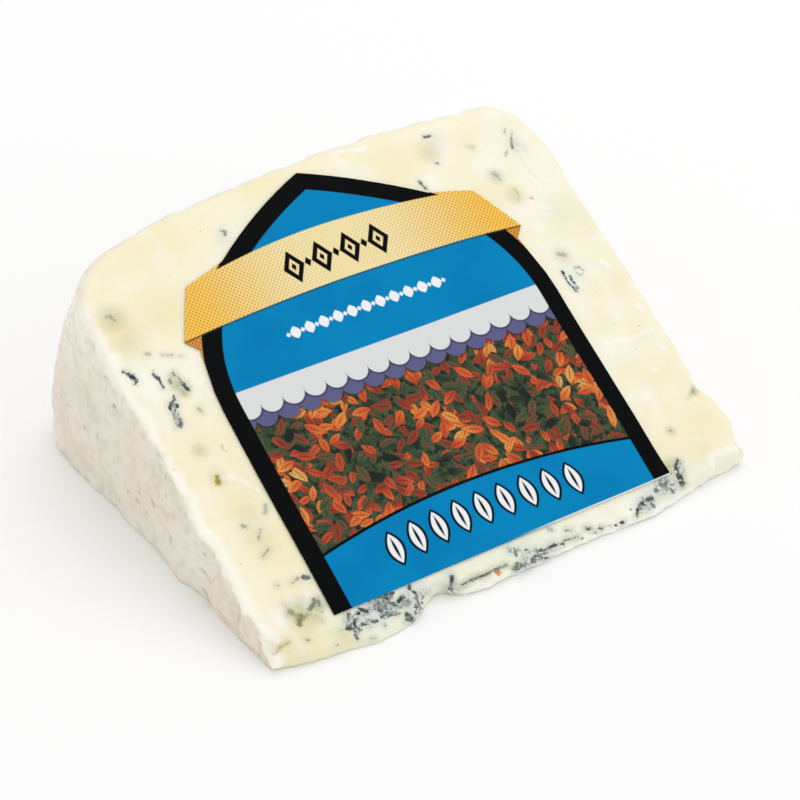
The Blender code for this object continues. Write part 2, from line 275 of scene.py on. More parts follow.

# %% [markdown]
# The veins are the heart of the look. In such a cheese the mould grows in cracks and round holes between the
# curds, so a cut shows short dark strokes, hooks and rings, some bold and some hardly there. Each is a short
# line of points in millimetres on the cut face, with half its width, how dark it is from 0 to 1, and its
# tone: 0 is blue-black, 1 olive green, 1.5 the brown of a ripe rim and 2 amber. The skin's creases and the
# left end's dents are lines of the same kind; the creases' white is a painted highlight, and the nick's brown
# a painted shadow. Soft patches of mould and of ripening are discs with a radius and a strength; some white
# ones are painted highlights and painted light, and some yellow ones painted shade.

# %% Veins of mould on the cut face
VEINS = (
    # By the left ridge: a hook, a thin stroke, a wing, and a ring with its tail
    (0.32, 0.85, 0.1, ((1.6, 58.8), (2.2, 58.2), (2.5, 57.2), (2.7, 56.2))),
    (0.50, 0.9, 0.0, ((2.4, 57.5), (2.6, 56.9))),
    (0.20, 0.9, 0.1, ((6.2, 56.3), (6.6, 55.4), (6.7, 54.6), (6.5, 53.3))),
    (0.32, 0.8, 0.0, ((6.3, 56.0), (6.6, 55.3))),
    (0.18, 0.6, 0.7, ((9.5, 55.3), (10.0, 53.8), (10.3, 52.6))),
    (0.34, 0.9, 0.6, ((10.3, 52.6), (10.4, 51.6))),
    (0.22, 0.95, 0.1, ((7.5, 51.1), (6.4, 50.2), (5.8, 49.4), (6.1, 48.5), (7.1, 49.2), (7.5, 51.1))),
    (0.36, 1.0, 0.0, ((6.0, 49.8), (5.8, 49.3))),
    (0.16, 0.6, 0.3, ((5.9, 48.5), (5.8, 47.9), (5.3, 45.8))),
    (0.32, 0.7, 0.2, ((6.4, 46.5), (6.0, 45.9))),
    (0.20, 0.3, 0.9, ((6.7, 60.4), (7.2, 60.2))),
    (0.16, 0.25, 0.9, ((9.4, 59.2), (11.0, 58.5))),
    (0.16, 0.2, 0.9, ((12.2, 57.9), (12.6, 57.7))),
    (0.24, 0.5, 0.7, ((8.3, 54.1), (8.3, 53.7))),
    # Upper left, then down the left side
    (0.20, 0.35, 0.9, ((3.7, 69.3), (4.3, 69.3), (4.4, 68.6), (4.9, 68.2))),
    (0.12, 0.3, 1.4, ((11.0, 39.9), (10.9, 39.1), (11.2, 38.5))),
    (0.16, 0.3, 0.9, ((10.5, 47.5), (10.7, 47.0))),
    (0.20, 0.3, 1.0, ((12.7, 26.9), (11.9, 25.8))),
    (0.20, 0.35, 1.0, ((9.6, 23.3), (8.5, 21.9))),
    (0.20, 0.35, 1.0, ((9.1, 19.6), (7.6, 18.8))),
    (0.26, 0.4, 0.9, ((7.1, 25.1), (7.5, 24.8))),
    (0.34, 0.7, 0.3, ((12.2, 12.6), (13.0, 12.3))),
    (0.16, 0.4, 0.6, ((10.2, 12.9), (11.2, 12.8))),
    # The cluster at the lower left
    (0.34, 0.6, 1.0, ((11.9, 8.2), (11.2, 7.6), (10.2, 7.1))),
    (0.30, 0.6, 1.0, ((12.5, 8.0), (12.4, 6.8))),
    (0.40, 0.4, 1.2, ((6.9, 8.2), (7.6, 7.2), (8.1, 6.4))),
    (0.46, 0.65, 1.2, ((8.3, 6.6), (7.8, 5.9), (7.4, 5.3))),
    (0.38, 0.5, 1.2, ((9.8, 6.6), (8.9, 6.2), (8.0, 6.3))),
    (0.16, 0.4, 0.8, ((6.8, 9.7), (6.7, 9.3))),
    (0.12, 0.4, 0.6, ((11.3, 4.7), (11.3, 4.1))),
    # The dense mould at the tip, left of the missing chunk
    (0.24, 0.75, 0.9, ((16.0, 3.6), (15.6, 2.6), (15.2, 2.0), (15.1, 1.5))),
    (0.28, 0.95, 0.3, ((18.0, 3.0), (17.0, 2.7), (16.4, 2.0), (16.1, 1.3))),
    (0.34, 0.85, 0.3, ((18.4, 3.5), (19.2, 2.8))),
    (0.26, 0.85, 0.5, ((14.5, 1.4), (15.4, 1.0))),
    (0.14, 0.7, 0.4, ((15.8, 1.2), (16.7, 0.5), (16.1, 0.0), (15.6, 0.4))),
    (0.20, 0.75, 0.6, ((15.3, -0.1), (15.4, -0.9))),
    (0.26, 0.85, 0.6, ((17.5, 1.0), (18.4, 0.7))),
    (0.24, 0.8, 0.6, ((19.1, 0.8), (20.0, 0.4))),
    (0.28, 0.6, 0.2, ((22.0, 4.5), (21.9, 3.4), (21.6, 2.3))),
    # This stroke along the label's foot is a painted shadow under the paper's edge.
    (0.28, 0.8, 0.2, ((20.8, 4.3), (23.0, 4.1), (25.0, 3.9))),
    (0.30, 0.7, 0.1, ((23.3, 3.8), (23.9, 3.3))),
    (0.34, 0.45, 0.2, ((21.6, 2.1), (21.9, 1.7))),
    (0.55, 0.5, 0.1, ((22.7, 1.2), (22.9, 1.0))),
    (0.16, 0.85, 0.3, ((22.5, 0.3), (22.2, 1.2), (22.7, 1.7), (23.3, 1.5), (23.4, 0.8), (22.5, 0.3))),
    (0.30, 0.95, 0.6, ((26.3, 2.5), (25.4, 2.1))),
    (0.28, 0.85, 0.8, ((24.3, 2.0), (25.2, 1.1))),
    (0.22, 0.7, 0.3, ((23.5, 2.6), (24.2, 2.2))),
    (0.22, 0.6, 0.8, ((23.6, 0.3), (24.3, 0.1))),
    (0.42, 0.85, 0.8, ((25.4, -0.6), (26.0, -1.4), (26.5, -2.1))),
    (0.34, 0.8, 0.8, ((25.1, -1.4), (25.9, -1.9))),
    (0.28, 1.0, 0.4, ((28.4, 3.8), (28.4, 3.0), (28.8, 2.3))),
    (0.18, 0.65, 0.4, ((28.7, 2.1), (28.5, 1.1), (28.3, -0.2), (28.0, -1.6))),
    (0.20, 0.55, 0.5, ((29.6, 0.9), (31.8, 0.9))),
    (0.16, 0.5, 0.5, ((20.6, -0.5), (20.8, -0.8))),
    (0.18, 0.45, 0.8, ((17.5, -1.9), (18.0, -2.1))),
    (0.16, 0.35, 0.9, ((13.3, 1.5), (13.6, 1.5))),
    (0.20, 0.5, 0.6, ((7.0, 2.6), (7.4, 2.3))),
    (0.18, 0.4, 0.3, ((11.2, -0.5), (11.5, -0.6))),
    (0.14, 0.3, 0.8, ((7.2, 13.2), (7.4, 13.1))),
    (0.12, 0.35, 0.6, ((9.7, 12.5), (10.3, 12.6))),
    # At the notch, and the long crack behind the tip
    (0.30, 1.0, 0.5, ((36.3, 2.4), (36.0, 1.4), (35.7, 0.7), (35.8, 0.0), (36.4, -0.7))),
    (0.16, 0.7, 0.5, ((35.8, 0.0), (36.2, -0.3))),
    (0.20, 0.8, 0.8, ((37.3, 0.2), (39.1, 0.5), (40.6, 0.5), (42.1, 0.3))),
    (0.16, 0.7, 0.8, ((42.1, 0.3), (44.0, 0.5), (46.5, 0.3))),
    (0.14, 0.55, 0.6, ((50.1, 2.1), (50.3, 1.9))),
    (0.30, 0.9, 0.7, ((48.1, -1.2), (48.7, -0.6), (49.3, -0.6), (50.1, -1.2))),
    (0.30, 0.9, 0.5, ((50.1, -1.2), (51.1, -1.0), (52.0, -0.8), (52.5, -0.2))),
    (0.28, 0.95, 0.5, ((53.4, 0.2), (54.3, 0.1), (55.0, -0.2), (54.9, -0.7))),
    (0.28, 0.95, 0.4, ((54.9, -0.7), (53.7, -0.9), (54.0, -1.6), (55.2, -2.1))),
    (0.22, 0.9, 0.7, ((55.4, 0.0), (56.2, 0.2), (56.8, 0.1), (57.7, -0.2))),
    (0.18, 0.8, 0.7, ((58.6, -0.3), (59.3, 0.1), (60.7, -0.2), (61.8, -0.3))),
    (0.28, 0.6, 0.2, ((49.5, 2.3), (49.3, 1.2))),
    (0.34, 0.3, 0.1, ((57.4, 3.2), (57.9, 2.7))),
    (0.22, 0.85, 0.6, ((64.1, 0.6), (64.9, 0.1))),
    (0.20, 0.8, 0.6, ((66.8, -0.5), (67.0, -0.8))),
    (0.14, 0.5, 0.8, ((60.4, 1.6), (61.2, 1.3))),
    (0.28, 0.85, 0.4, ((71.2, -1.2), (71.6, -1.4))),
    # Up to the right corner of the tip
    (0.20, 0.7, 0.6, ((74.6, -1.2), (75.0, -0.7), (75.5, -0.3))),
    (0.50, 0.9, 0.3, ((75.5, -0.2), (76.1, 0.1), (76.7, 0.4))),
    (0.40, 0.75, 0.1, ((78.0, 0.8), (78.9, 0.8))),
    (0.22, 0.55, 0.3, ((80.4, 1.5), (81.2, 1.5))),
    (0.20, 0.5, 0.3, ((83.0, 1.9), (84.2, 1.6))),
    (0.40, 1.0, 0.8, ((87.9, 5.0), (87.0, 4.3), (86.7, 3.1))),
    (0.48, 1.0, 0.9, ((86.6, 2.8), (86.4, 2.1), (86.2, 0.9))),
    (0.20, 0.7, 0.5, ((88.6, 4.9), (88.1, 4.3))),
    # The upper right, beside the arch
    (0.28, 0.75, 0.3, ((78.5, 82.4), (79.6, 82.3))),
    (0.16, 0.5, 0.3, ((77.5, 76.5), (77.8, 76.2))),
    (0.24, 0.75, 0.3, ((72.2, 73.9), (72.5, 72.1))),
    (0.24, 0.4, 0.6, ((85.7, 77.6), (86.3, 77.3))),
    (0.15, 0.55, 0.2, ((95.8, 77.5), (95.0, 76.3), (94.6, 75.6))),
    (0.24, 0.55, 0.2, ((94.6, 75.8), (94.0, 74.4))),
    (0.14, 0.35, 0.2, ((94.7, 78.4), (94.4, 77.9))),
    (0.14, 0.35, 0.2, ((92.9, 74.3), (91.7, 73.5))),
    (0.46, 0.32, 1.0, ((87.2, 70.5), (87.5, 69.8))),
    (0.12, 0.55, 0.7, ((86.7, 70.9), (86.9, 70.0), (87.6, 69.1))),
    (0.14, 0.3, 1.3, ((89.3, 66.3), (89.4, 64.9), (88.8, 63.7))),
    (0.24, 0.45, 1.6, ((91.0, 63.8), (91.5, 63.2))),
    (0.36, 0.32, 1.0, ((89.9, 50.9), (91.0, 50.1))),
    (0.17, 0.85, 0.1, ((88.6, 47.3), (88.5, 45.2), (89.0, 42.8))),
    (0.18, 0.8, 0.1, ((89.5, 46.1), (89.4, 44.8), (89.7, 43.1))),
    (0.12, 0.5, 0.2, ((91.4, 47.0), (92.3, 46.9), (92.6, 46.2))),
    (0.12, 0.35, 0.2, ((92.2, 45.5), (91.4, 45.5), (91.1, 46.2))),
    (0.22, 0.55, 0.2, ((31.3, 77.8), (31.8, 77.2), (31.6, 76.7))),
    (0.16, 0.6, 1.0, ((90.0, 10.9), (90.3, 10.8))),
    (0.20, 0.6, 1.0, ((99.9, 16.5), (99.3, 16.0))),
    # A small hole with a rim of amber ripening, an amber speck at the tip, and a yellow crack at its left
    (0.34, 0.9, 1.5, ((7.5, 35.0), (7.0, 33.8))),
    (0.50, 0.85, 2.0, ((44.4, 0.1), (44.8, -0.3))),
    (0.20, 0.35, 1.5, ((-0.4, 2.2), (1.2, 2.5), (2.4, 3.1), (4.0, 3.3))),
)

# Patches of grey-blue mould, of olive ripening, of chalky white and of riper, yellower paste, each with its
# x, up, radius and strength. Some white ones are painted highlights and painted light, and the yellow
# ones on the right are painted shade.
GREY_PATCHES = (
    (6.6, 49.7, 1.0, 0.9),
    (6.2, 48.2, 0.9, 0.95),
    (6.2, 47.0, 0.9, 0.9),
    (8.5, 53.0, 2.2, 0.3),
    (10.6, 8.4, 1.8, 0.4),
    (16.3, 1.8, 1.8, 0.9),
    (21.5, 0.8, 1.3, 0.9),
    (20.0, 2.6, 3.4, 0.8),
    (23.0, 2.2, 2.6, 0.9),
    (27.2, 1.6, 2.6, 0.8),
    (30.0, 2.0, 2.4, 0.6),
    (35.4, 1.4, 1.6, 0.5),
    (48.8, 2.4, 1.6, 0.7),
    (51.8, -0.6, 3.0, 0.85),
    (56.5, -0.2, 2.0, 0.6),
    (57.8, 3.1, 1.2, 0.5),
    (77.5, 0.2, 2.0, 0.9),
    (79.6, 1.2, 2.0, 0.7),
    (83.2, 1.7, 2.4, 0.95),
    (87.4, 3.4, 1.4, 0.9),
    (95.0, 74.6, 2.0, 0.5),
    (80.5, 81.0, 2.2, 0.3),
    (90.4, 46.0, 2.6, 0.35),
    (31.0, 76.4, 1.8, 0.4),
)
OLIVE_PATCHES = (
    (4.4, 68.6, 2.8, 0.5),
    (5.0, 63.5, 3.4, 0.22),
    (9.2, 54.6, 1.2, 0.7),
    (9.3, 53.0, 1.5, 1.0),
    (9.7, 51.6, 1.4, 1.0),
    (6.9, 40.5, 1.4, 0.5),
    (7.3, 34.5, 1.6, 0.45),
    (8.6, 22.4, 2.4, 0.25),
    (7.8, 6.3, 1.5, 1.0),
    (7.0, 7.8, 1.4, 0.9),
    (9.0, 6.4, 1.5, 0.8),
    (11.9, 7.2, 1.5, 0.9),
    (10.4, 5.6, 1.8, 0.6),
    (8.4, 7.0, 2.8, 0.7),
    (13.5, 0.8, 2.0, 0.3),
    (9.2, 26.0, 3.0, 0.2),
    (25.7, -1.2, 1.6, 0.4),
    (77.4, 79.1, 2.6, 0.4),
    (87.3, 70.0, 1.8, 0.5),
    (88.6, 64.8, 2.0, 0.4),
    (90.6, 50.4, 1.8, 0.4),
    (86.0, 4.6, 1.8, 0.75),
    (1.5, 3.4, 1.8, 0.25),
    (3.6, 3.3, 1.6, 0.25),
    (96.5, 58.0, 5.0, 0.15),
)
WHITE_PATCHES = (
    (4.3, 56.4, 1.6, 0.7),
    (5.0, 54.0, 2.6, 0.75),
    (7.8, 57.2, 2.0, 0.3),
    (5.2, 7.4, 2.0, 0.9),
    (1.3, 5.6, 2.2, 0.9),
    (0.6, 0.6, 1.8, 0.8),
    (8.0, 9.9, 1.2, 0.5),
    (11.2, 9.6, 0.9, 0.9),
    (10.5, 8.8, 0.9, 0.9),
    (9.8, 8.0, 0.8, 0.8),
    (19.5, 1.8, 3.0, 0.8),
    (26.0, 2.2, 4.0, 0.9),
    (74.4, 73.4, 2.0, 0.7),
    (88.6, 74.0, 5.0, 0.5),
    (96.0, 68.0, 7.0, 0.45),
    (90.0, 45.5, 3.0, 0.6),
    # These two are painted highlights: small glints on the paste's skin.
    (92.6, 60.2, 1.6, 0.7),
    (89.8, 57.5, 1.4, 0.6),
    (92.0, 30.0, 8.0, 0.2),
    # These four, on the tip's strip, are painted light: they make the strip, which faces down, as bright as
    # the face.
    (58.0, -1.0, 4.5, 0.5),
    (66.0, -0.6, 5.0, 0.6),
    (73.0, 0.2, 4.0, 0.5),
    (42.0, -1.6, 4.0, 0.35),
)
YELLOW_PATCHES = (
    (5.0, 66.0, 4.5, 0.8),
    (12.0, 68.0, 8.0, 0.45),
    (8.0, 76.0, 6.0, 0.3),
    (7.6, 41.0, 4.0, 0.35),
    (8.5, 29.0, 4.5, 0.65),
    (10.0, 20.0, 6.5, 0.7),
    (9.0, 11.0, 5.0, 0.5),
    (2.0, 1.0, 5.0, 0.7),
    (8.0, 1.0, 5.0, 0.7),
    (13.0, 17.0, 4.0, 0.5),
    (13.0, -0.5, 3.5, 0.6),
    (22.0, 80.0, 9.0, 0.3),
    (45.0, 86.0, 9.0, 0.5),
    (46.0, 81.0, 8.0, 0.4),
    (70.0, 80.0, 7.0, 0.6),
    # From here on, the yellow patches on the right are painted shade: soft darker bands where the paste
    # undulates.
    (93.0, 42.5, 2.8, 0.45),
    (98.0, 41.0, 2.8, 0.45),
    (91.0, 35.0, 3.0, 0.3),
    (96.0, 31.5, 3.0, 0.4),
    (89.5, 24.5, 3.2, 0.45),
    (94.0, 21.5, 3.2, 0.35),
    (95.8, 9.5, 3.6, 0.4),
    (94.4, 5.0, 2.4, 0.6),
)

# The skin's creases and grooves: half width and height in mm, the strength of a painted highlight on their
# tops, and points
CREASES = (
    (0.45, 0.30, 0.45, ((7.9, 34.2), (9.6, 33.7), (11.1, 32.5), (12.8, 29.7))),
    (0.90, 0.45, 0.8, ((0.9, 6.8), (1.3, 5.2), (2.0, 4.6))),
    (0.70, 0.35, 0.7, ((0.4, 1.0), (1.0, 0.2))),
    (0.25, -0.40, 0.0, ((-0.4, 2.2), (1.2, 2.5), (2.4, 3.1), (4.0, 3.3))),
    (1.30, -1.20, 0.0, ((32.2, -2.8), (34.2, -1.8))),
    (0.55, 0.30, 0.55, ((95.2, 73.5), (94.9, 70.0), (95.4, 67.5), (96.9, 65.0))),
    (0.70, 0.25, 0.6, ((93.7, 0.8), (94.6, 3.8), (97.5, 3.3), (99.9, 2.9))),
    (0.60, 0.20, 0.5, ((88.5, 31.0), (93.0, 30.0), (98.6, 30.2))),
    (0.50, 0.25, 0.9, ((97.2, 46.0), (97.8, 45.0))),
    (0.40, 0.25, 0.9, ((98.4, 26.8), (98.7, 26.0))),
    (0.35, 0.25, 0.9, ((94.2, 22.9), (94.6, 22.7))),
    (0.40, 0.25, 0.9, ((98.9, 35.6), (99.2, 34.9))),
    (0.50, 0.25, 0.8, ((92.2, 60.6), (93.2, 59.9))),
    (0.40, 0.20, 0.8, ((60.0, 85.5), (66.0, 84.0))),
    (0.50, -0.70, 0.0, ((100.8, 16.6), (98.8, 15.9), (97.4, 15.2))),
    (0.30, -0.45, 0.0, ((36.0, 0.7), (37.3, 0.2), (39.1, 0.5), (42.1, 0.3), (46.5, 0.2), (48.1, -1.0))),
    (0.30, -0.40, 0.0, ((48.1, -1.0), (50.0, -1.3), (52.0, -0.8), (54.0, -0.4), (56.8, 0.1), (59.3, 0.1))),
    (0.25, -0.30, 0.0, ((59.3, 0.1), (61.8, -0.3), (64.5, 0.2), (67.0, -0.6), (71.3, -1.2), (75.0, -0.8))),
)

# Dents of the left end: half width and depth in mm, how brown, which at the nick is a painted shadow, and
# points back from the tip and up
END_DENTS = (
    # The nick at its foot, with a painted shadow line in brown, and two curved cracks
    (0.40, 1.0, 1.0, ((23.9, 2.2), (23.3, 1.4), (22.6, 0.0))),
    (0.28, 0.35, 0.3, ((24.2, 7.3), (22.6, 6.9), (21.9, 5.6))),
    (0.28, 0.30, 0.2, ((11.9, 7.6), (11.4, 6.1), (12.8, 3.6))),
    # Small brown holes
    (0.22, 0.25, 0.5, ((64.9, 23.3), (64.6, 22.9))),
    (0.26, 0.25, 0.55, ((52.0, 24.9), (51.6, 24.4))),
    (0.22, 0.25, 0.4, ((58.8, 14.7), (58.5, 14.3))),
    (0.34, 0.30, 0.5, ((46.4, 7.7), (46.0, 7.3))),
    (0.36, 0.30, 0.55, ((41.0, 11.1), (40.3, 10.4))),
    (0.26, 0.30, 0.5, ((34.5, 7.4), (34.2, 6.6))),
    (0.26, 0.25, 0.4, ((53.5, 3.1), (53.0, 2.7))),
)
print(len(VEINS), "veins,", len(CREASES), "creases and", len(END_DENTS), "dents of the left end")

# %% [markdown]
# Along those lines the mesh is cut twice more, so that a stroke three tenths of a millimetre wide still has
# points of its own. The distance from every point to the nearest vein is worked out with arrays, one short
# straight run at a time, less the vein's half width: it is negative inside a vein.

# %% The distance to the veins
# Each cut: how near a vein in mm, and which faces are large enough, by the side of a square
CUTS_NEAR_VEINS = ((1.0, 0.55 * MM), (0.6, 0.27 * MM))


def distances_to_run(points, start, end):
    """The distance of each point from one straight run."""
    run = end - start
    share = np.clip((points - start) @ run / (run @ run), 0, 1)
    return np.linalg.norm(points - start - share[:, None] * run, axis=1)


def nearest_vein(points, veins):
    """For each point: how far outside the nearest vein it is, and that vein's strength and tone."""
    outside = np.full(len(points), 99.0)
    strength = np.zeros(len(points))
    tone = np.zeros(len(points))
    for half_width, dark, olive, line in veins:
        corners = np.array(line)
        for start, end in zip(corners, corners[1:]):
            distance = distances_to_run(points, start, end) - half_width
            closer = distance < outside
            outside[closer] = distance[closer]
            strength[closer] = dark
            tone[closer] = olive
    return outside, strength, tone


def outside_dents(points):
    """How far outside the nearest dent of the left end each point is, with its depth and its brown, which at
    the nick is a painted shadow.
    """
    back = np.column_stack((points[:, 1] - TIP_CORNER.y, points[:, 2])) / MM
    return nearest_vein(back, END_DENTS)


def near_veins(mesh, reach, side):
    """The larger faces close to a vein or a crease of the cut face, or to a dent of the left end."""
    centres, normals = face_values(mesh, "center"), face_values(mesh, "normal")
    near_dent = (outside_dents(centres)[0] < 0.5 * reach) & (normals[:, 0] < -0.5)
    x, up, depth = face_coordinates(centres)
    outside = nearest_vein(np.column_stack((x, up)) / MM, VEINS + CREASES)[0]
    upper = (normals @ np.array(OUT_OF_SLOPE) > 0.3) | (up < 2 * TIP_STRIP)
    bare = upper & (normals[:, 2] > -0.5) & ~under_label(x, up)
    return ((outside < reach) & bare | near_dent) & larger_than(mesh, side)


for reach, side in CUTS_NEAR_VEINS:
    refine(cheese.data, near_veins(cheese.data, reach, side))
    print("refined to", len(cheese.data.polygons), "faces")

# %% [markdown]
# Each point also has to know which surface it is on. The cut face is bare moist paste. The wheel's two flat
# sides, now the wedge's ends, and its crowned side are rind: dry, beige and crackled. Between the left end
# and the cut face runs a bright cream ridge a few millimetres wide, where the rind was trimmed by the cut.

# %% Which surface each point is on
AXIS_BEHIND_TIP = 4.16 * MM
RIDGE_WIDTH = 1.3
RIDGE_DEPTH = 0.8
RIDGE_DEEPER_AT_TIP = 1.8
RIDGE_DEEPER_AT_RIM = 1.1
RIDGE_WANDER = 0.9
TIP_REACH = 5.0


def point_values(mesh, name):
    """One vector per point, such as its co or its normal."""
    values = np.empty(len(mesh.vertices) * 3)
    source = mesh.vertices if name == "co" else mesh.vertex_normals
    source.foreach_get("co" if name == "co" else "vector", values)
    return values.reshape(-1, 3)


def smooth(values, low, high):
    """0 below low, 1 above high, and a smooth rise between."""
    share = np.clip((np.asarray(values) - low) / (high - low), 0, 1)
    return share * share * (3 - 2 * share)


def noise_at(points, size, seed):
    """Smooth noise from -1 to 1 with lumps of this size, in the points' own unit."""
    shift = Vector((7.3, 3.1, 5.7)) * seed
    return np.array([noise.noise(Vector(point) / size + shift) for point in points])


points = point_values(cheese.data, "co")
normals = point_values(cheese.data, "normal")
x, up, depth = face_coordinates(points)
x_mm, up_mm = x / MM, up / MM
points_mm = points / MM

outward = points * (0, 1, 1) - (0, TIP_CORNER.y - AXIS_BEHIND_TIP, 0)
outward /= np.linalg.norm(outward, axis=1)[:, None]
on_face = smooth(normals @ np.array(OUT_OF_SLOPE), 0.75, 0.95)
on_base = smooth(-normals[:, 2], 0.7, 0.95)
on_left = smooth(-normals[:, 0], 0.45, 0.8)
on_right = smooth(normals[:, 0], 0.45, 0.8)
on_rim = smooth(np.sum(normals * outward, axis=1), 0.5, 0.9) * smooth(up_mm, 20, 40)
rind = np.maximum(on_left, np.maximum(on_right, on_rim))

across, above = on_label(x, up)
in_arch = np.minimum(arch_depth(across, above), above)
in_ribbon = np.minimum(above - RIBBON_LOW, RIBBON_HIGH - above)
in_ribbon = np.minimum(in_ribbon, ARCH_HALF_WIDTH - np.abs(across))
bare = 1 - smooth(np.maximum(in_arch, in_ribbon) / MM, -1.5, 0.0) * on_face

wander = RIDGE_WANDER * (noise_at(points_mm, 5.0, 1) + 0.8 * noise_at(points_mm, 1.8, 2))
ridge = 1 - smooth(x_mm + wander, RIDGE_WIDTH - 0.8, RIDGE_WIDTH + 1.2)
ridge_foot = RIDGE_DEPTH + RIDGE_DEEPER_AT_TIP * (1 - smooth(up_mm, 0, 9))
ridge_foot += RIDGE_DEEPER_AT_RIM * smooth(up_mm, 45, 60)
ridge *= 1 - smooth(depth / MM + wander - ridge_foot, -0.3, 0.3)
ridge *= 1 - on_base
rind *= 1 - ridge
at_tip = (1 - smooth(up_mm, TIP_REACH - 2.5, TIP_REACH)) * (1 - on_base)
upper = np.maximum(on_face, at_tip) * (1 - smooth(-normals[:, 0], 0.8, 0.95))
print("rind points:", int((rind > 0.5).sum()), "ridge points:", int((ridge > 0.5).sum()))

# %% [markdown]
# Now the veins and the patches reach the points. The underside is a cut face too, though nobody sees it
# until the wedge is lifted, so it gets wandering veins of its own from a seeded random walk.

# %% Mould at each point
FAR_FROM_VEIN = 9.0
UNDERSIDE_VEINS = 70
UNDERSIDE_SEED = 41


def wandering_vein(rng):
    """A short random walk on the underside, as one of the veins."""
    place = np.array([rng.uniform(4, 97), rng.uniform(2, 84)])
    heading = rng.uniform(0, 2 * math.pi)
    line = [tuple(place)]
    for step in range(rng.randint(1, 4)):
        heading += rng.uniform(-0.9, 0.9)
        place = place + rng.uniform(0.8, 2.2) * np.array([math.cos(heading), math.sin(heading)])
        line.append(tuple(place))
    return rng.uniform(0.25, 0.6), rng.uniform(0.3, 0.9), rng.random() ** 2, tuple(line)


def patches_at(patches):
    """How strong the soft patches are at each point."""
    total = np.zeros(len(points))
    for middle_x, middle_up, radius, strength in patches:
        distance = np.hypot(x_mm - middle_x, up_mm - middle_up)
        total = np.maximum(total, strength * (1 - smooth(distance, 0, 1.6 * radius)))
    return total * upper


outside, dark, tone = nearest_vein(np.column_stack((x_mm, up_mm)), VEINS)
rng = random.Random(UNDERSIDE_SEED)
underside = [wandering_vein(rng) for count in range(UNDERSIDE_VEINS)]
below = (points - np.array(TIP_CORNER))[:, :2] / MM
under_outside, under_dark, under_tone = nearest_vein(below, underside)
is_base = on_base > 0.5
outside = np.where(is_base, under_outside, np.where(upper > 0.3, outside, FAR_FROM_VEIN))
dark = np.where(is_base, under_dark, dark * upper)
tone = np.where(is_base, under_tone, tone)
halo = dark * (1 - smooth(outside, -0.2, 1.3)) * (tone < 1.2)
grey = np.maximum(patches_at(GREY_PATCHES), 0.5 * halo)
olive = np.maximum(patches_at(OLIVE_PATCHES), halo * np.minimum(tone, 1))
white = patches_at(WHITE_PATCHES)
yellow = patches_at(YELLOW_PATCHES)
print("points inside a vein:", int((outside < 0).sum()))

# %% [markdown]
# The relief is real mesh, so it shows in any light and is part of the mesh's own shape. Veins are shallow
# cracks, mouldy patches are rough, the ridge stands a little proud, and the rind has lumps, a net of fine
# cracks, some pits and the left end's dents. The skin of the cut face is drawn up in a few creases, which
# catch the light and get a painted highlight too, and along the tip runs a groove over a crumbly lip, which
# is painted whiter as painted light. Under the label nothing moves, so the paper lies flat. The rind's lumps
# are drawn out lengthwise, and its hollows are kept for the shader, which paints shade into them.

# %% The relief of the paste and of the rind
PIT_SEED = 12
PIT_COUNT = 170
PIT_DEPTH = 0.35
VEIN_DEPTH = 0.30
VEIN_EDGE = (-0.25, 0.15)
CREASE_EDGE = (-0.5, 0.5)
DENT_EDGE = (-0.35, 0.3)
RIDGE_HEIGHT = 0.14
RIDGE_LUMPS = 0.22
MOULD_ROUGHNESS = 0.16
RIND_STRETCH = 1.15
CRACKLE_SIZE = 6.5
CRACKLE_SEED = 5
CRACKLE_DEPTH = 0.12

# Lumps as pairs: their size and their height in mm
RIND_LUMPS = ((8.0, 0.45), (3.4, 0.36))
RIND_GRAIN = ((1.9, 0.18), (1.0, 0.09))
PASTE_LUMPS = ((11.0, 0.14), (3.6, 0.07), (1.3, 0.02))
TIP_LUMPS = ((3.6, 0.34), (1.7, 0.26), (0.9, 0.10))


def lumps(sizes_and_heights, seed, stretch=1.0):
    """The sum of noises, each with lumps of one size and height in mm, drawn out from tip to rim."""
    total = np.zeros(len(points))
    for i, (size, height) in enumerate(sizes_and_heights):
        total += height * noise_at(points_mm / (1, stretch, 1), size, seed + i)
    return total


def crackle_at(points, size):
    """1 on the lines of a net of bent cells, which fade in and out, and 0 inside the cells."""
    # Without this, noise_vector takes its seed from the clock
    noise.seed_set(CRACKLE_SEED)
    net = np.zeros(len(points))
    for i, point in enumerate(points):
        place = Vector(point) / size
        nearest = noise.voronoi(place + 0.3 * noise.noise_vector(2 * place))[0]
        net[i] = nearest[1] - nearest[0] + 0.3 * max(0, noise.noise(place * 0.8))
    return 1 - smooth(net, 0.0, 0.12)


def pits_at(count):
    """Small round pits at random places of the rind, as depths."""
    rng = random.Random(PIT_SEED)
    rind_points = np.flatnonzero(rind > 0.8)
    total = np.zeros(len(points))
    for pit in range(count):
        middle = points_mm[rind_points[rng.randrange(len(rind_points))]]
        radius = rng.uniform(0.3, 0.8)
        distance = np.linalg.norm(points_mm - middle, axis=1)
        total = np.maximum(total, PIT_DEPTH * radius * (1 - smooth(distance, 0.2 * radius, radius)))
    return total


crackle = np.where(rind > 0.05, crackle_at(points_mm, CRACKLE_SIZE), 0)
pits = pits_at(PIT_COUNT) * rind
height = lumps(PASTE_LUMPS, 1) * bare * (1 - rind)
grain = lumps(RIND_GRAIN, 15, RIND_STRETCH)
height += (lumps(RIND_LUMPS, 11, RIND_STRETCH) + grain - CRACKLE_DEPTH * crackle) * rind - pits
# Painted shade: the rind's hollows are kept so the shader can darken them.
hollow_shade = smooth(-grain, 0.0, 0.14) * rind
height += lumps(TIP_LUMPS, 21) * at_tip * bare
height += (RIDGE_HEIGHT + RIDGE_LUMPS * noise_at(points_mm, 2.2, 5)) * ridge
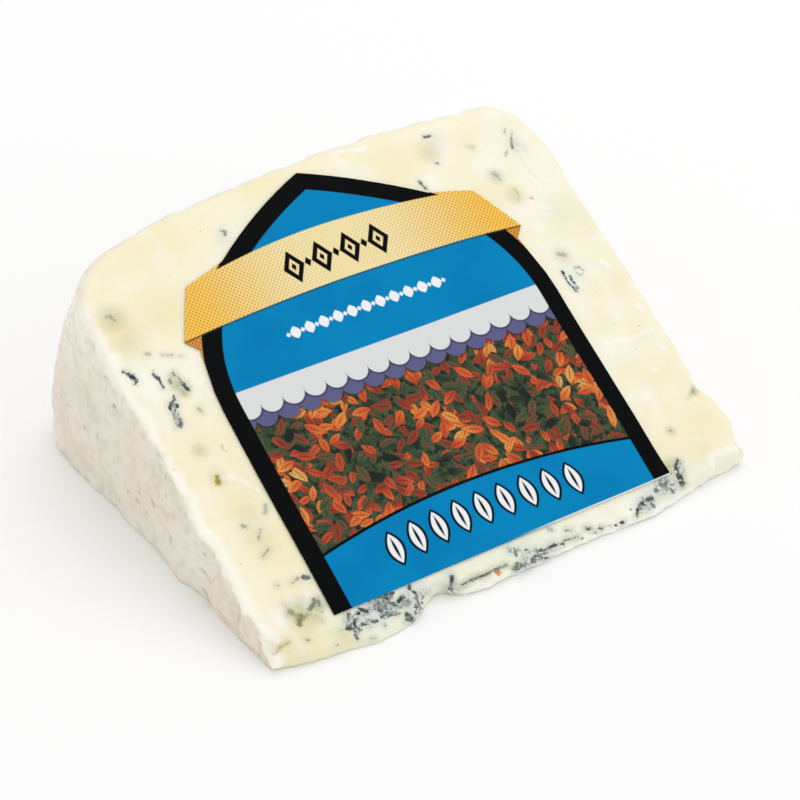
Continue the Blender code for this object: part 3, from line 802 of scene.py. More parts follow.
# The creases' whiteness is a painted highlight on their raised tops.
crease_outside, crease_height, crease_highlight = nearest_vein(np.column_stack((x_mm, up_mm)), CREASES)
crease_outside += 0.35 * noise_at(points_mm, 1.3, 51)
creased = (1 - smooth(crease_outside, *CREASE_EDGE)) * upper * bare
height += crease_height * creased
# Painted light: the tip's strip below the groove faces down, so it is painted whiter to look as bright as the
# face.
lip_painted_light = at_tip * smooth(-up_mm, 0.2, 1.4) * smooth(x_mm, 26, 34)
white = np.maximum(white, np.maximum(crease_highlight * creased, 0.8 * lip_painted_light))
height -= VEIN_DEPTH * dark * (1 - smooth(outside, *VEIN_EDGE)) * bare
dent_outside, dent_depth, dent_brown_and_shadow = outside_dents(points)
dented = (1 - smooth(dent_outside, *DENT_EDGE)) * on_left
height -= dent_depth * dented
height += MOULD_ROUGHNESS * grey * bare * noise_at(points_mm, 0.7, 31)
moved = points + normals * (height * MM)[:, None]
moved[:, 2] = np.maximum(moved[:, 2], 0)
cheese.data.vertices.foreach_set("co", moved.ravel())
cheese.data.update()
print("relief from", round(height.min(), 2), "to", round(height.max(), 2), "mm")

# %% [markdown]
# What the shader needs of all this is stored on the points as attributes: plain numbers with names, which
# the surface blends between its points, and which go with the mesh wherever it goes.

# %% Attributes for the paste's shader
VEIN_BOOST = 1.15
SHOULDER_PALENESS = 0.9


def store(mesh, name, values):
    """Keeps one number per point under a name that a shader can read."""
    attribute = mesh.attributes.new(name, "FLOAT", "POINT")
    attribute.data.foreach_set("value", np.asarray(values, dtype=np.float32))


for name, values in (
    ("vein", outside),
    ("dark", np.minimum(VEIN_BOOST * dark, 1)),
    ("tone", tone),
    ("grey", grey),
    ("olive", olive),
    ("white", white),
    ("yellow", yellow),
    ("rind", rind),
    ("ridge", ridge),
    ("tip", at_tip),
    # The pit attribute is painted shade: darker in pits, cracks and the rind's hollows.
    ("pit", np.maximum(pits * 2, np.maximum(crackle * 0.4 * rind, 0.45 * hollow_shade))),
    ("shoulder", SHOULDER_PALENESS * smooth(points_mm[:, 2], 16, 38) * on_left * rind),
    ("brown_and_shadow", dent_brown_and_shadow * dented),
):
    store(cheese.data, name, values)
print("attributes:", len(cheese.data.attributes))

# %% [markdown]
# Node materials are built by small helpers, so that a finish reads like a recipe. Each helper adds one
# node, and takes either a plain value or another node's output for its inputs. A node's output can also be
# added to and multiplied like a number, which adds a math node. Colours are given as they look on a screen,
# from 0 to 255, and turned into the linear values that the renderer works with.


# %% Helpers for node materials
def colour(red, green, blue):
    """A linear colour from one as seen on a screen."""
    def linear(value):
        share = value / 255
        return share / 12.92 if share <= 0.04045 else ((share + 0.055) / 1.055) ** 2.4
    return (linear(red), linear(green), linear(blue), 1)


class Value:
    """A node's output. Each sum with it adds a math node, so a recipe can be written as a formula."""

    def __init__(self, recipe, socket):
        self.recipe = recipe
        self.socket = socket

    def __add__(self, other):
        return self.recipe.math("ADD", self, other)

    def __sub__(self, other):
        return self.recipe.math("SUBTRACT", self, other)

    def __rsub__(self, other):
        return self.recipe.math("SUBTRACT", other, self)

    def __mul__(self, other):
        return self.recipe.math("MULTIPLY", self, other)

    def __truediv__(self, other):
        return self.recipe.math("DIVIDE", self, other)

    def __pow__(self, other):
        return self.recipe.math("POWER", self, other)

    def __abs__(self):
        return self.recipe.math("ABSOLUTE", self)


class Recipe:
    """A material's node tree, with one short function for each kind of node."""

    def __init__(self, name):
        self.material = bpy.data.materials.new(name)
        self.material.use_nodes = True
        self.tree = self.material.node_tree
        self.shader = self.tree.nodes["Principled BSDF"]

    def add(self, kind, inputs, output=0, **settings):
        node = self.tree.nodes.new(kind)
        for name, value in settings.items():
            setattr(node, name, value)
        for name, value in inputs.items():
            self.plug(value, node.inputs[name])
        return Value(self, node.outputs[output])

    def plug(self, value, socket):
        if isinstance(value, Value):
            self.tree.links.new(value.socket, socket)
        else:
            socket.default_value = value

    def give(self, name, value):
        """Sets one of the shader's own inputs."""
        self.plug(value, self.shader.inputs[name])

    def place(self):
        return self.add("ShaderNodeTexCoord", {}, "Object")

    def attribute(self, name):
        return self.add("ShaderNodeAttribute", {}, "Fac", attribute_name=name)

    def math(self, operation, *values):
        return self.add("ShaderNodeMath", dict(enumerate(values)), operation=operation)

    def either(self, first, second):
        return self.math("MAXIMUM", first, second)

    def vector(self, operation, *values):
        return self.add("ShaderNodeVectorMath", dict(enumerate(values)), operation=operation)

    def rise(self, value, low, high):
        """0 below low, 1 above high, and a smooth rise between. High may be the smaller."""
        inputs = {"Value": value, "From Min": low, "From Max": high}
        return self.add("ShaderNodeMapRange", inputs, interpolation_type="SMOOTHSTEP")

    def mix(self, share, first, second):
        """The first colour where the share is 0, and the second where it is 1."""
        inputs = {"Factor": share, 6: first, 7: second}
        return self.add("ShaderNodeMix", inputs, 2, data_type="RGBA")

    def tint(self, shown, share, tint, strength=1.0):
        """Lays a colour over what is shown, where the share says so and as strongly as asked."""
        return self.mix(share if strength == 1.0 else share * strength, shown, tint)

    def noise(self, place, size, detail=2.0):
        inputs = {"Vector": place, "Scale": 1 / size, "Detail": detail}
        return self.add("ShaderNodeTexNoise", inputs, "Fac")

    def cells(self, place, size, output="Distance", **settings):
        return self.add("ShaderNodeTexVoronoi", {"Vector": place, "Scale": 1 / size}, output, **settings)

    def bump(self, height, distance, strength, normal=None):
        inputs = {"Height": height, "Distance": distance, "Strength": strength}
        if normal is not None:
            inputs["Normal"] = normal
        return self.add("ShaderNodeBump", inputs)


print("white paste is", [round(value, 2) for value in colour(248, 246, 236)[:3]])

# %% [markdown]
# The paste is ivory, with cloudy areas that are whiter or yellower, and light goes a little way into it.
# The veins' distance gets noise added before it is cut off, which turns a smooth stroke into the ragged,
# grainy line of real mould. The rind is beige, paler towards its upper shoulder, with painted shade in its
# hollows, pits and cracks, tiny brown specks, and brown in its dents that at the nick is a painted shadow.

# %% The paste's finish
IVORY = colour(247, 241, 217)
YELLOW_PASTE = colour(243, 234, 198)
RIPE_AND_SHADED_PASTE = colour(238, 225, 170)
WHITE_PASTE = colour(251, 249, 240)
RIDGE_CREAM = colour(255, 250, 235)
TIP_PASTE = colour(236, 238, 218)
RIND_BEIGE = colour(238, 229, 212)
RIND_PALE = colour(243, 237, 223)
RIND_SHADE = colour(208, 195, 174)
RIND_BROWN = colour(156, 130, 108)
MOULD_GREY = colour(204, 214, 213)
MOULD_OLIVE = colour(166, 167, 108)
MOULD_MIDDLE = colour(124, 134, 128)
MOULD_DARK = colour(32, 40, 46)
MOULD_GREEN = colour(72, 80, 60)
RIPE_RIM = colour(184, 160, 70)
AMBER = colour(206, 146, 84)


def add_mould(recipe, place, paste):
    """Pale bloom with painted highlights and painted light, olive ripening and dark veins over the paste's
    colour.
    """
    uneven = recipe.noise(place, 0.7 * MM, 3) * 0.9 + 0.55
    grey = recipe.attribute("grey")
    # The white attribute holds chalky bloom, painted highlights on creases and glints, and painted light on
    # the tip's strip.
    shown = recipe.tint(paste, recipe.attribute("white") * uneven, WHITE_PASTE)
    shown = recipe.tint(shown, recipe.attribute("olive") * uneven, MOULD_OLIVE, 0.85)
    shown = recipe.tint(shown, grey * uneven, MOULD_GREY)

    # Where the bloom is dense it has darker clouds, and dark lines run between small pale crumbs
    dense = recipe.rise(grey, 0.35, 0.75)
    clouds = recipe.rise(recipe.noise(place, 1.5 * MM, 3), 0.46, 0.64)
    shown = recipe.tint(shown, clouds * dense, MOULD_MIDDLE, 0.75)
    crumb_edge = abs(recipe.noise(place, 1.7 * MM, 3) - 0.5)
    broken = recipe.rise(recipe.noise(place, 1.9 * MM, 1), 0.42, 0.58)
    lines = recipe.rise(crumb_edge, 0.035, 0.008) * broken * dense
    specks = recipe.rise(recipe.noise(place, 1.1 * MM, 4) - (grey * -0.15 + 0.73), 0.0, 0.05)
    greener = recipe.rise(recipe.noise(place, 2 * MM), 0.4, 0.7)
    mark_colour = recipe.mix(greener, MOULD_DARK, MOULD_GREEN)
    shown = recipe.tint(shown, recipe.either(lines, specks), mark_colour, 0.8)

    # The veins themselves: ragged, now thick and now thin, darkest in the middle, and broken here and there
    ragged = recipe.noise(place, 0.45 * MM, 3) * 1.1 - 0.52
    swelling = recipe.noise(place, 1.4 * MM, 2) * 1.2 - 0.62
    edge = recipe.attribute("vein") + (ragged + swelling)
    tone = recipe.attribute("tone")
    core = recipe.mix(recipe.rise(tone, 0.0, 1.0), MOULD_DARK, MOULD_GREEN)
    vein_colour = recipe.mix(recipe.rise(edge, 0.05, -0.30), MOULD_MIDDLE, core)
    vein_colour = recipe.tint(vein_colour, recipe.rise(tone, 1.1, 1.4), RIPE_RIM)
    vein_colour = recipe.tint(vein_colour, recipe.rise(tone, 1.7, 2.0), AMBER)
    unbroken = recipe.rise(recipe.noise(place, 0.9 * MM, 2), 0.16, 0.32)
    inside = recipe.rise(edge, 0.20, -0.12) * unbroken
    return recipe.tint(shown, inside * recipe.attribute("dark"), vein_colour)


def add_rind(recipe, place, paste):
    """The rind's beige, pale at its shoulder, with painted shade in hollows, pits and cracks, brown specks,
    and the dents' brown, which at the nick is a painted shadow.
    """
    cloud = recipe.rise(recipe.noise(place, 11 * MM, 5), 0.3, 0.7)
    shown = recipe.mix(cloud, RIND_BEIGE, RIND_PALE)
    shown = recipe.tint(shown, recipe.attribute("shoulder"), RIDGE_CREAM)
    # Painted shade in the rind's pits, cracks and hollows
    shown = recipe.tint(shown, recipe.attribute("pit"), RIND_SHADE, 0.8)
    rare = recipe.rise(recipe.noise(place, 7 * MM, 1), 0.5, 0.62)
    specks = recipe.rise(recipe.cells(place, 3.1 * MM), 0.18, 0.02) * rare
    shown = recipe.tint(shown, specks, RIND_BROWN, 0.6)
    # The dents' brown, which in the nick at the foot is a painted shadow
    shown = recipe.tint(shown, recipe.attribute("brown_and_shadow"), RIND_BROWN)
    return recipe.tint(paste, recipe.attribute("rind"), shown)


def paste_finish():
    recipe = Recipe("cheese paste")
    place = recipe.place()
    rind = recipe.attribute("rind")
    paste = recipe.mix(recipe.rise(recipe.noise(place, 17 * MM, 2), 0.35, 0.75), IVORY, YELLOW_PASTE)
    whiter = recipe.rise(recipe.noise(place, 5 * MM, 2), 0.45, 0.85)
    paste = recipe.tint(paste, whiter, WHITE_PASTE, 0.6)
    paste = recipe.tint(paste, recipe.attribute("tip"), TIP_PASTE, 0.8)
    # The yellow attribute is riper paste, and on the right painted shade.
    paste = recipe.tint(paste, recipe.attribute("yellow"), RIPE_AND_SHADED_PASTE, 0.8)
    paste = recipe.tint(paste, recipe.attribute("ridge"), RIDGE_CREAM)
    recipe.give("Base Color", add_rind(recipe, place, add_mould(recipe, place, paste)))

    # Moist paste is glossier than the dry rind
    recipe.give("Roughness", recipe.noise(place, 3 * MM, 3) * 0.12 + (rind * 0.26 + 0.36))
    soft = recipe.bump(recipe.noise(place, 2.2 * MM, 3), 0.25 * MM, 0.35)
    drawn_out = recipe.vector("MULTIPLY", place, (1.0, 1 / RIND_STRETCH, 1.0))
    wrinkle = recipe.bump(recipe.noise(drawn_out, 1.2 * MM, 3), 0.5 * MM, rind, soft)
    recipe.give("Normal", recipe.bump(recipe.noise(place, 0.5 * MM, 4), 0.08 * MM, 0.3, wrinkle))
    recipe.give("Subsurface Weight", 0.35)
    recipe.give("Subsurface Scale", 1.5 * MM)
    recipe.give("Subsurface Radius", (1.0, 0.8, 0.5))
    recipe.give("IOR", 1.42)
    return recipe.material


cheese.data.materials.clear()
cheese.data.materials.append(paste_finish())
print("the paste has", len(cheese.data.materials[0].node_tree.nodes), "nodes")

# %% [markdown]
# The tip is crumbly: small crumbs of paste and of mould cling to it where chunks broke off. Each crumb is a
# coarse ball whose points are pushed in and out by noise, flattened, and set half into the surface. Seeded
# random numbers pick its place among the tip's points. All crumbs are one mesh, so they are one piece, and
# their own attributes make some of them dark with mould.

# %% Crumbs at the tip
CRUMB_SEED = 7
CRUMB_RADIUS = (0.20, 0.55)
CRUMB_ROUGHNESS = 0.45
CRUMB_SINK = 0.2

# Along the tip from, to, and up the face from, to, in mm; how many, and the share of dark ones
CRUMB_STRETCHES = (
    (15.0, 25.0, -0.5, 3.6, 12, 0.5),
    (25.0, 30.0, -1.8, 0.5, 8, 0.6),
    (34.5, 37.0, -1.0, 1.0, 4, 0.3),
    (47.5, 55.5, -2.0, 0.1, 34, 0.75),
    (62.0, 72.0, -1.5, -0.2, 8, 0.4),
    (74.0, 79.5, -1.5, 0.8, 12, 0.5),
    (80.5, 86.5, 1.0, 3.8, 26, 0.15),
)


def add_crumb(bm, place, radius, rng):
    """One rough crumb round a place."""
    ball = bmesh.ops.create_icosphere(bm, subdivisions=2, radius=radius)["verts"]
    shift = Vector((rng.random(), rng.random(), rng.random())) * 50
    for vert in ball:
        vert.co *= 1 + CRUMB_ROUGHNESS * noise.noise(vert.co / radius * 1.3 + shift)
    flatten = (1, rng.uniform(0.6, 1.0), rng.uniform(0.5, 0.9))
    bmesh.ops.scale(bm, verts=ball, vec=flatten)
    turn = Matrix.Rotation(rng.uniform(0, math.pi), 3, "Z")
    bmesh.ops.rotate(bm, verts=ball, cent=(0, 0, 0), matrix=turn)
    bmesh.ops.translate(bm, verts=ball, vec=place)
    return len(ball)


rng = random.Random(CRUMB_SEED)
crumb_bm = bmesh.new()
crumb_dark, crumb_vein, crumb_grey = [], [], []
for first, last, lowest, highest, count, dark_share in CRUMB_STRETCHES:
    here = (x_mm > first) & (x_mm < last) & (up_mm > lowest) & (up_mm < highest)
    choices = np.flatnonzero(here & (on_base < 0.1) & (points_mm[:, 2] > 0.7))
    for crumb in range(count):
        spot = choices[rng.randrange(len(choices))]
        radius = rng.uniform(*CRUMB_RADIUS) * MM
        place = Vector(moved[spot]) - Vector(normals[spot]) * radius * CRUMB_SINK
        size = add_crumb(crumb_bm, place, radius, rng)
        is_dark = rng.random() < dark_share
        crumb_dark += [rng.uniform(0.5, 0.9) if is_dark else 0.0] * size
        crumb_vein += [-0.1 if is_dark else FAR_FROM_VEIN] * size
        crumb_grey += [0.8 if is_dark else rng.uniform(0, 0.5)] * size
crumbs = add_piece("crumbs", mesh_from(crumb_bm, "crumbs"))
store(crumbs.data, "dark", crumb_dark)
store(crumbs.data, "vein", crumb_vein)
store(crumbs.data, "grey", crumb_grey)
store(crumbs.data, "tip", [1.0] * len(crumb_dark))
crumbs.data.materials.append(cheese.data.materials[0])
print(len(crumbs.data.polygons), "faces on the crumbs")

# %% [markdown]
# The label is a sheet of coated paper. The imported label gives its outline: the top of its solid is laid
# flat in the label's own coordinates and its inner points are dissolved. The flat outline is then cut
# into a fine grid, given the paper's thickness, and bent over the wavy cut face point by point.

# %% The label's sheet
PAPER_GAP = 0.16 * MM
PAPER_THICKNESS = 0.14 * MM
PAPER_GRID = 1.2 * MM
CORNER_LIFT = 0.35 * MM
CORNER_REACH = 7 * MM


def label_plane():
    """A matrix from the label's own plane to the wedge: across, up the slope, and outwards."""
    axes = Matrix((Vector((1, 0, 0)), UP_SLOPE, OUT_OF_SLOPE)).transposed().to_4x4()
    foot = TIP_CORNER + Vector((LABEL_FOOT.x, 0, 0)) + UP_SLOPE * LABEL_FOOT.y
    return Matrix.Translation(foot) @ axes @ Matrix.Rotation(LABEL_TURN, 4, "Z")


def flat_label(plane):
    """The label's outline as one flat face in its own plane."""
    bm = copy_of_node("label")
    bmesh.ops.transform(bm, matrix=plane.inverted(), verts=bm.verts)
    below = [face for face in bm.faces if face.normal.z < 0.7]
    bmesh.ops.delete(bm, geom=below, context="FACES")
    for vert in bm.verts:
        vert.co.z = 0
    bmesh.ops.dissolve_faces(bm, faces=bm.faces[:])
    return bm


def cut_into_grid(bm, step):
    """Cuts a flat outline along evenly spaced lines, both ways."""
    reach = max(abs(value) for vert in bm.verts for value in vert.co)
    count = math.ceil(reach / step)
    for i in range(-count, count + 1):
        for axis in (Vector((1, 0, 0)), Vector((0, 1, 0))):
            geometry = bm.verts[:] + bm.edges[:] + bm.faces[:]
            bmesh.ops.bisect_plane(bm, geom=geometry, plane_co=axis * i * step, plane_no=axis)


def thicken(bm, thickness):
    """Gives a flat sheet its thickness, upwards."""
    sheet = bmesh.ops.extrude_face_region(bm, geom=bm.faces[:])
    raised = [part for part in sheet["geom"] if isinstance(part, bmesh.types.BMVert)]
    bmesh.ops.translate(bm, verts=raised, vec=(0, 0, thickness))
    bmesh.ops.recalc_face_normals(bm, faces=bm.faces)


plane = label_plane()
bm = flat_label(plane)
print("the outline has", len(bm.verts), "corners and", len(bm.faces), "face")
cut_into_grid(bm, PAPER_GRID)
thicken(bm, PAPER_THICKNESS)
print("the sheet has", len(bm.faces), "faces")

# %% [markdown]
# Before the sheet is bent, its flat coordinates are kept: as a UV map in which one unit is ten
# centimetres, and as the depth inside the arch. The print follows them, and so stays in place on the
# paper however the paper is bent. The sheet's cut edges get a second material, plain white paper.

# %% Bend the label over the cheese
PRINT_UNIT = 100 * MM
UPRIGHT = 0.5
SHARP_ANGLE = math.radians(40)
GRAIN_WAVE = 0.05 * MM
GRAIN_WAVE_LENGTH = 9 * MM


def lift(across, above):
    """How far the paper stands off: slight waves, and a loose corner at the lower right."""
    waves = GRAIN_WAVE * (1 + noise.noise(Vector((across, above, 4.0)) / GRAIN_WAVE_LENGTH))
    distance = math.hypot(across - ARCH_HALF_WIDTH, above)
    return waves + CORNER_LIFT * max(0, 1 - distance / CORNER_REACH) ** 2


flat = np.array([tuple(vert.co) for vert in bm.verts])
print_layer = bm.loops.layers.uv.new("print")
for face in bm.faces:
    face.material_index = 0 if abs(face.normal.z) > UPRIGHT else 1
    face.smooth = True
    for loop in face.loops:
        loop[print_layer].uv = (loop.vert.co.x / PRINT_UNIT + 0.5, loop.vert.co.y / PRINT_UNIT)
for vert in bm.verts:
    across_label, up_label, thickness = vert.co
    on_plane = plane @ Vector((across_label, up_label, 0))
    offset = on_plane - TIP_CORNER
    along = offset.dot(UP_SLOPE)
    raised = face_wave(offset.x, along) + PAPER_GAP + thickness + lift(across_label, up_label)
    vert.co = on_plane + OUT_OF_SLOPE * raised
label_mesh = mesh_from(bm, "label_sheet")
label_mesh.set_sharp_from_angle(angle=SHARP_ANGLE)
store(label_mesh, "in_arch", arch_depth(flat[:, 0], flat[:, 1]) / MM)
label = add_piece("label_sheet", label_mesh)
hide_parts("label")
print("the label is", [round(value / MM, 1) for value in label.dimensions], "mm")

# %% [markdown]
# The print is worked out in millimetres from the UV map, with the middle line at zero across and the foot
# at zero up. It has fields of flat colour: a blue ground, a black border inside the arch, a golden ribbon,
# and a panel with a pattern of autumn leaves. Small ornaments, lozenges and leaves, are drawn by formulas
# such as |x| / width + |y| / height < 1, and repeated by wrapping x.

# %% Helpers for the print
PRINT_BLUE = colour(0, 131, 187)
DEEP_BLUE = colour(0, 123, 180)
PRINT_BLACK = colour(6, 7, 8)
PRINT_WHITE = colour(235, 238, 240)
PAPER_WHITE = colour(240, 240, 236)
PANEL_WHITE = colour(218, 219, 219)
GOLD = colour(246, 196, 84)
PALE_GOLD = colour(240, 224, 168)
GOLD_SHADE = colour(172, 112, 44)
FOLD_BROWN = colour(128, 72, 30)
FOLD_GOLD = colour(214, 144, 64)
RIBBON_SHADOW = colour(30, 50, 30)
LEAF_COLOURS = (
    colour(34, 40, 36),
    colour(70, 88, 60),
    colour(150, 58, 44),
    colour(212, 92, 50),
    colour(228, 140, 66),
    colour(212, 172, 98),
)
SLATE = colour(92, 94, 134)
EDGE_SOFT = 0.12


class Print(Recipe):
    """A recipe that also knows the print's own millimetres, across and up."""

    def __init__(self, name):
        super().__init__(name)
        uv = self.add("ShaderNodeUVMap", {}, uv_map="print")
        scale = self.add("ShaderNodeVectorMath", {0: uv, "Scale": PRINT_UNIT / MM}, operation="SCALE")
        self.flat = self.vector("ADD", scale, (-50, 0, 0))
        self.across = self.part_of(self.flat, "X")
        self.up = self.part_of(self.flat, "Y")

    def part_of(self, place, axis):
        return self.add("ShaderNodeSeparateXYZ", {0: place}, axis)

    def arc_height(self, middle, height, bend, half_width):
        """The height of a shallow arch at each place across: it falls by bend at half_width."""
        share = (self.across - middle) / half_width
        return share * share * -bend + height

    def over(self, value, limit, soft=EDGE_SOFT):
        """1 where the value is over the limit, with a slightly soft edge."""
        return self.rise(value - limit, -soft, soft)

    def lozenge(self, x, y, half_width, half_height, power=1.0):
        """A diamond at the origin, or a pointed leaf where the power is 2."""
        wide = abs(x) / half_width
        high = abs(y) / half_height
        if power != 1.0:
            high = high ** power
        soft = EDGE_SOFT / min(half_width, half_height)
        return self.rise(wide + high, 1 + soft, 1 - soft)

    def wrapped(self, value, width):
        """How far from a repeated place: wrapped from minus half to half a width."""
        return self.math("WRAP", value, width / 2, -width / 2)

    def row(self, ends, count, shift=0.0):
        """A row of ornaments between two ends: how far the nearest is, and where the row is."""
        pitch = (ends[1] - ends[0]) / count
        first = ends[0] + pitch * shift
        last = ends[1] - pitch * shift
        place = self.wrapped(self.across - (first + pitch / 2), pitch)
        return place, self.over(self.across, first) * (1.0 - self.over(self.across, last))


print("the print has", len(LEAF_COLOURS), "leaf colours")

# %% [markdown]
# Each field is a mask from 0 to 1, and the colours are laid over each other in the order of a screen
# print: ground, panel, leaf pattern, ornaments, border, ribbon. The ribbon lies over the border and has a
# fine dot screen, as cheap colour print has, and its folded end shows a darker underside.

# %% The label's print
BORDER_WIDTH = 3.5
FOOT_LINE = 0.28
PANEL_TOP = 43.3

# Shallow arcs: the middle across, the height there, and how far it falls by which half width, in mm
PANEL_FOOT = (-3.0, 13.1, 3.3, 32.0)
RIBBON_TOP_ARC = (0.0, 68.4, 3.2, 31.0)
RIBBON_FOOT_ARC = (0.0, 57.1, 1.65, 35.9)
ORNAMENT_ARC = (0.0, 62.4, 2.3, 33.0)
DIVIDER_ARC = (0.0, 50.6, 1.2, 32.0)

# Rows of small marks: where they end across, and the half widths and half heights of their parts
ORNAMENT_ENDS = (-13.0, 11.0)
ORNAMENT_SIZES = ((2.2, 3.4), (1.1, 1.8), (0.5, 0.8))
DIVIDER_ENDS = (-19.0, 17.0)
LEAF_ROW_ENDS = (-22.0, 20.0)
LEAF_ROW_DROP = 5.6
LEAF_ROW_SIZES = ((1.75, 3.5), (1.25, 2.9), (0.28, 2.2))

# The panel: leaf layers by size and shift, and bands of scallops by their drop from the top and colour
LEAF_LAYERS = ((2.7, 3.0), (3.1, 11.0), (3.5, 23.0))
SCREEN_PITCH = 0.86
SCALLOP_PITCH = 4.4
SCALLOP_BANDS = ((5.6, SLATE), (3.4, PANEL_WHITE))


def dot_screen(recipe):
    """The fine dots of a colour print, 1 in each dot."""
    wave = 2 * math.pi / SCREEN_PITCH
    columns = recipe.math("SINE", recipe.across * wave)
    rows = recipe.math("SINE", recipe.up * wave)
    return recipe.rise(columns * rows, 0.2, 0.9)


def leaf_colour(recipe, share):
    """One of the autumn colours, by a number from 0 to 1."""
    ramp = recipe.tree.nodes.new("ShaderNodeValToRGB")
    ramp.color_ramp.interpolation = "LINEAR"
    stops = ramp.color_ramp.elements
    for i, tint in enumerate(LEAF_COLOURS):
        place = i / (len(LEAF_COLOURS) - 1)
        stop = stops[i] if i < 2 else stops.new(place)
        stop.position = place
        stop.color = tint
    recipe.plug(share, ramp.inputs["Fac"])
    return Value(recipe, ramp.outputs["Color"])


def scattered_leaves(recipe, ground, size, seed, zone):
    """A layer of leaves, one in each cell, turned at random and tinted by where it is."""
    place = recipe.vector("ADD", recipe.flat, (seed, 2.7 * seed, 0))
    chance = recipe.cells(place, size, "Color", voronoi_dimensions="2D")
    middle = recipe.cells(place, size, "Position", voronoi_dimensions="2D")
    turn, shade = [recipe.add("ShaderNodeSeparateColor", {0: chance}, i) for i in (0, 1)]
    inputs = {"Vector": recipe.vector("SUBTRACT", place, middle), "Angle": turn * math.pi}
    turned = recipe.add("ShaderNodeVectorRotate", inputs, rotation_type="Z_AXIS")
    along, aside = recipe.part_of(turned, "X"), recipe.part_of(turned, "Y")
    blade = recipe.lozenge(aside, along, 0.24 * size, 0.56 * size, 2.0)
    rib = recipe.lozenge(aside, along, 0.035 * size, 0.42 * size, 2.0)
    shown = recipe.tint(ground, blade, leaf_colour(recipe, shade * 0.6 + (zone * 2.2 - 0.98)))
    return recipe.tint(shown, rib, LEAF_COLOURS[0], 0.6)


def scallops(recipe, shown, height, tint):
    """A band with a lower edge of half rounds, down from the panel's top."""
    aside = recipe.wrapped(recipe.across + height, SCALLOP_PITCH)
    rise = recipe.up - height
    distance = recipe.math("SQRT", aside * aside + rise * rise)
    radius = SCALLOP_PITCH / 2
    above_line = recipe.over(recipe.up, height)
    outline = recipe.either(recipe.rise(distance, radius + 0.5, radius + 0.25), above_line)
    band = recipe.either(recipe.rise(distance, radius + EDGE_SOFT, radius - EDGE_SOFT), above_line)
    return recipe.tint(recipe.tint(shown, outline, LEAF_COLOURS[0], 0.55), band, tint)


def leaf_panel(recipe):
    """Small scattered leaves in autumn colours on a dark ground, under two bands of scallops."""
    zone = recipe.noise(recipe.flat, 15, 2)
    speckle = recipe.noise(recipe.flat, 1.1, 4)
    shown = recipe.mix(recipe.rise(speckle, 0.35, 0.65), LEAF_COLOURS[0], LEAF_COLOURS[1])
    for size, seed in LEAF_LAYERS:
        shown = scattered_leaves(recipe, shown, size, seed, zone)
    shown = recipe.tint(shown, dot_screen(recipe), LEAF_COLOURS[0], 0.4)
    for drop, tint in SCALLOP_BANDS:
        shown = scallops(recipe, shown, PANEL_TOP - drop, tint)
    return shown


def add_white_marks(recipe, shown, panel_foot):
    """The row of leaves below the panel, and the divider of dots and small leaves above it."""
    height = recipe.up - (panel_foot - LEAF_ROW_DROP)
    place, within = recipe.row(LEAF_ROW_ENDS, 9)
    outline, leaf, rib = [recipe.lozenge(place, height, *size, 2.0) for size in LEAF_ROW_SIZES]
    shown = recipe.tint(shown, outline * within, PRINT_BLACK)
    shown = recipe.tint(shown, leaf * (1.0 - rib) * within, PRINT_WHITE)

    height = recipe.up - recipe.arc_height(*DIVIDER_ARC)
    dot_place, dot_span = recipe.row(DIVIDER_ENDS, 12)
    bar_place, bar_span = recipe.row(DIVIDER_ENDS, 12, 0.5)
    dots = recipe.lozenge(dot_place, height, 0.5, 0.5) * dot_span
    bars = recipe.lozenge(bar_place, height, 1.0, 1.25, 2.0) * bar_span
    return recipe.tint(shown, recipe.either(dots, bars), PRINT_WHITE)


def add_ribbon(recipe, shown, in_arch):
    """The golden ribbon with its shadow, its dot screen and its folded ends."""
    folded = recipe.rise(in_arch, -0.1, -0.3)
    shown = recipe.tint(shown, folded, recipe.mix(dot_screen(recipe), FOLD_GOLD, FOLD_BROWN))
    under_top = recipe.over(recipe.arc_height(*RIBBON_TOP_ARC) - recipe.up, 0.0)
    under_top = recipe.either(under_top, folded)
    over_foot = recipe.up - recipe.arc_height(*RIBBON_FOOT_ARC)
    shown = recipe.tint(shown, under_top * recipe.over(over_foot, -0.35), RIBBON_SHADOW, 0.65)
    aside = abs(recipe.across)
    gold = recipe.mix(recipe.rise(aside, 8.0, 33.0), PALE_GOLD, GOLD)
    gold = recipe.tint(gold, dot_screen(recipe) * recipe.rise(aside, -14.0, 30.0), GOLD_SHADE)
    return recipe.tint(shown, under_top * recipe.over(over_foot, 0.0), gold)


def add_ornament(recipe, shown):
    """Black lozenges on the ribbon, with small ones between."""
    height = recipe.up - recipe.arc_height(*ORNAMENT_ARC)
    place, span = recipe.row(ORNAMENT_ENDS, 4)
    big, hole, pip = [recipe.lozenge(place, height, *size) for size in ORNAMENT_SIZES]
    small_place, small_span = recipe.row(ORNAMENT_ENDS, 4, 0.5)
    small = recipe.lozenge(small_place, height, 0.7, 1.0) * small_span
    marks = recipe.either(recipe.either(big * (1.0 - hole), pip) * span, small)
    return recipe.tint(shown, marks, PRINT_BLACK)


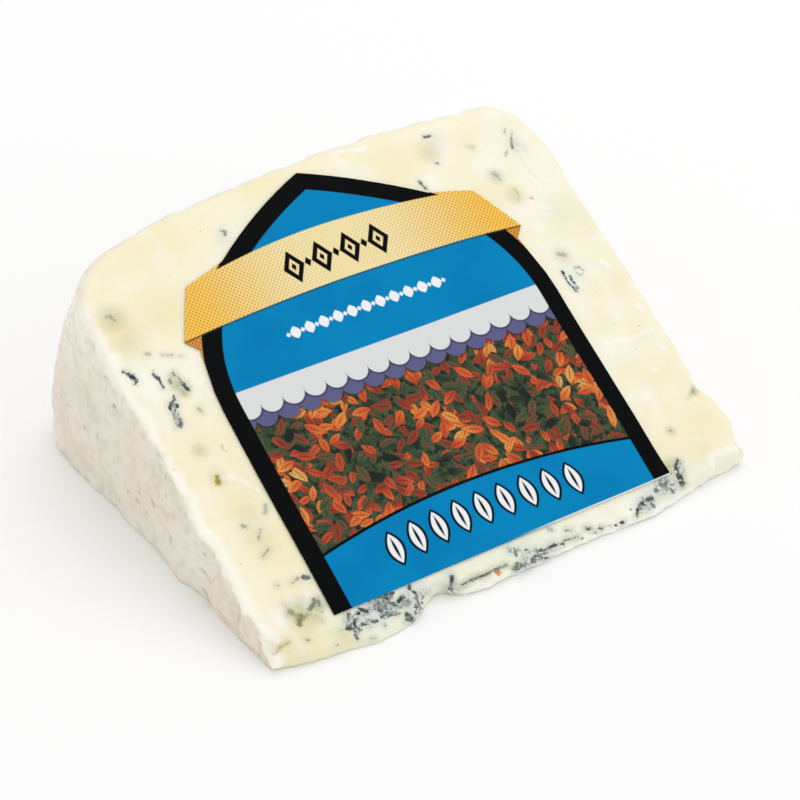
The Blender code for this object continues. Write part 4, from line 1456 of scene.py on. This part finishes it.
def paper_print():
    recipe = Print("label print")
    in_arch = recipe.attribute("in_arch")
    shown = recipe.mix(recipe.rise(recipe.noise(recipe.flat, 14, 2), 0.35, 0.7), PRINT_BLUE, DEEP_BLUE)
    panel_foot = recipe.arc_height(*PANEL_FOOT)
    in_panel = recipe.over(recipe.up, panel_foot) * (1.0 - recipe.over(recipe.up, PANEL_TOP))
    shown = recipe.tint(shown, in_panel, leaf_panel(recipe))
    line = recipe.rise(abs(recipe.up - panel_foot), FOOT_LINE + EDGE_SOFT, FOOT_LINE - EDGE_SOFT)
    shown = recipe.tint(shown, line, PRINT_BLACK)
    shown = add_white_marks(recipe, shown, panel_foot)
    border = recipe.rise(in_arch, BORDER_WIDTH + EDGE_SOFT, BORDER_WIDTH - EDGE_SOFT)
    shown = recipe.tint(shown, border, PRINT_BLACK)
    shown = add_ornament(recipe, add_ribbon(recipe, shown, in_arch))

    # The foot's right half was cut outside the print, so a thin line of bare paper shows
    bare_foot = recipe.rise(recipe.across, 0.0, 12.0) * (1.0 - recipe.over(recipe.up, 0.22, 0.08))
    recipe.give("Base Color", recipe.tint(shown, bare_foot, PAPER_WHITE, 0.8))
    recipe.give("Roughness", recipe.noise(recipe.flat, 3, 3) * 0.1 + 0.45)
    recipe.give("Specular IOR Level", 0.04)
    recipe.give("Normal", recipe.bump(recipe.noise(recipe.flat, 0.7, 3), 0.01 * MM, 0.2))
    return recipe.material


def cut_paper():
    """The white edge of the paper, with its fibres."""
    recipe = Recipe("cut paper")
    fibres = recipe.noise(recipe.place(), 0.3 * MM, 3)
    recipe.give("Base Color", recipe.mix(fibres, PAPER_WHITE, colour(214, 214, 210)))
    recipe.give("Roughness", 0.8)
    return recipe.material


label.data.materials.clear()
label.data.materials.append(paper_print())
label.data.materials.append(cut_paper())
print("the print has", len(label.data.materials[0].node_tree.nodes), "nodes")

# %% [markdown]
# The wedge is shown as in a shop's picture: on a white floor, in soft light from above and all round. A big
# white world does most of the work, because it lets hardly any shadow fall. One large lamp above and behind
# makes the upper face the brightest, and a weaker one on the right keeps the tip from greying.

# %% Floor and light
FLOOR_SIZE = 1.5
WORLD_STRENGTH = 0.80

# Each lamp: its name, its place in metres, its size and its power in watts
LAMPS = (
    ("top light", (0.20, 0.25, 0.9), 0.8, 2.2),
    ("front light", (0.30, -0.9, 0.5), 0.7, 1.2),
)

floor_bm = bmesh.new()
bmesh.ops.create_grid(floor_bm, x_segments=1, y_segments=1, size=FLOOR_SIZE)
floor_mesh = bpy.data.meshes.new("floor")
floor_bm.to_mesh(floor_mesh)
floor_bm.free()
floor = bpy.data.objects.new("floor", floor_mesh)
bpy.context.scene.collection.objects.link(floor)
floor_recipe = Recipe("white floor")
floor_recipe.give("Base Color", colour(250, 250, 250))
floor_recipe.give("Roughness", 0.9)
floor_recipe.give("Specular IOR Level", 0.0)
floor_mesh.materials.append(floor_recipe.material)

world = bpy.data.worlds.new("studio")
world.use_nodes = True
world.node_tree.nodes["Background"].inputs["Color"].default_value = (1, 1, 1, 1)
world.node_tree.nodes["Background"].inputs["Strength"].default_value = WORLD_STRENGTH
bpy.context.scene.world = world
for name, place, size, power in LAMPS:
    lamp_data = bpy.data.lights.new(name, "AREA")
    lamp_data.size = size
    lamp_data.energy = power
    lamp = bpy.data.objects.new(name, lamp_data)
    lamp.location = place
    lamp.rotation_euler = (-Vector(place)).to_track_quat("-Z", "Y").to_euler()
    bpy.context.scene.collection.objects.link(lamp)
bpy.context.scene.view_settings.view_transform = "Standard"
print(len(LAMPS), "lamps")
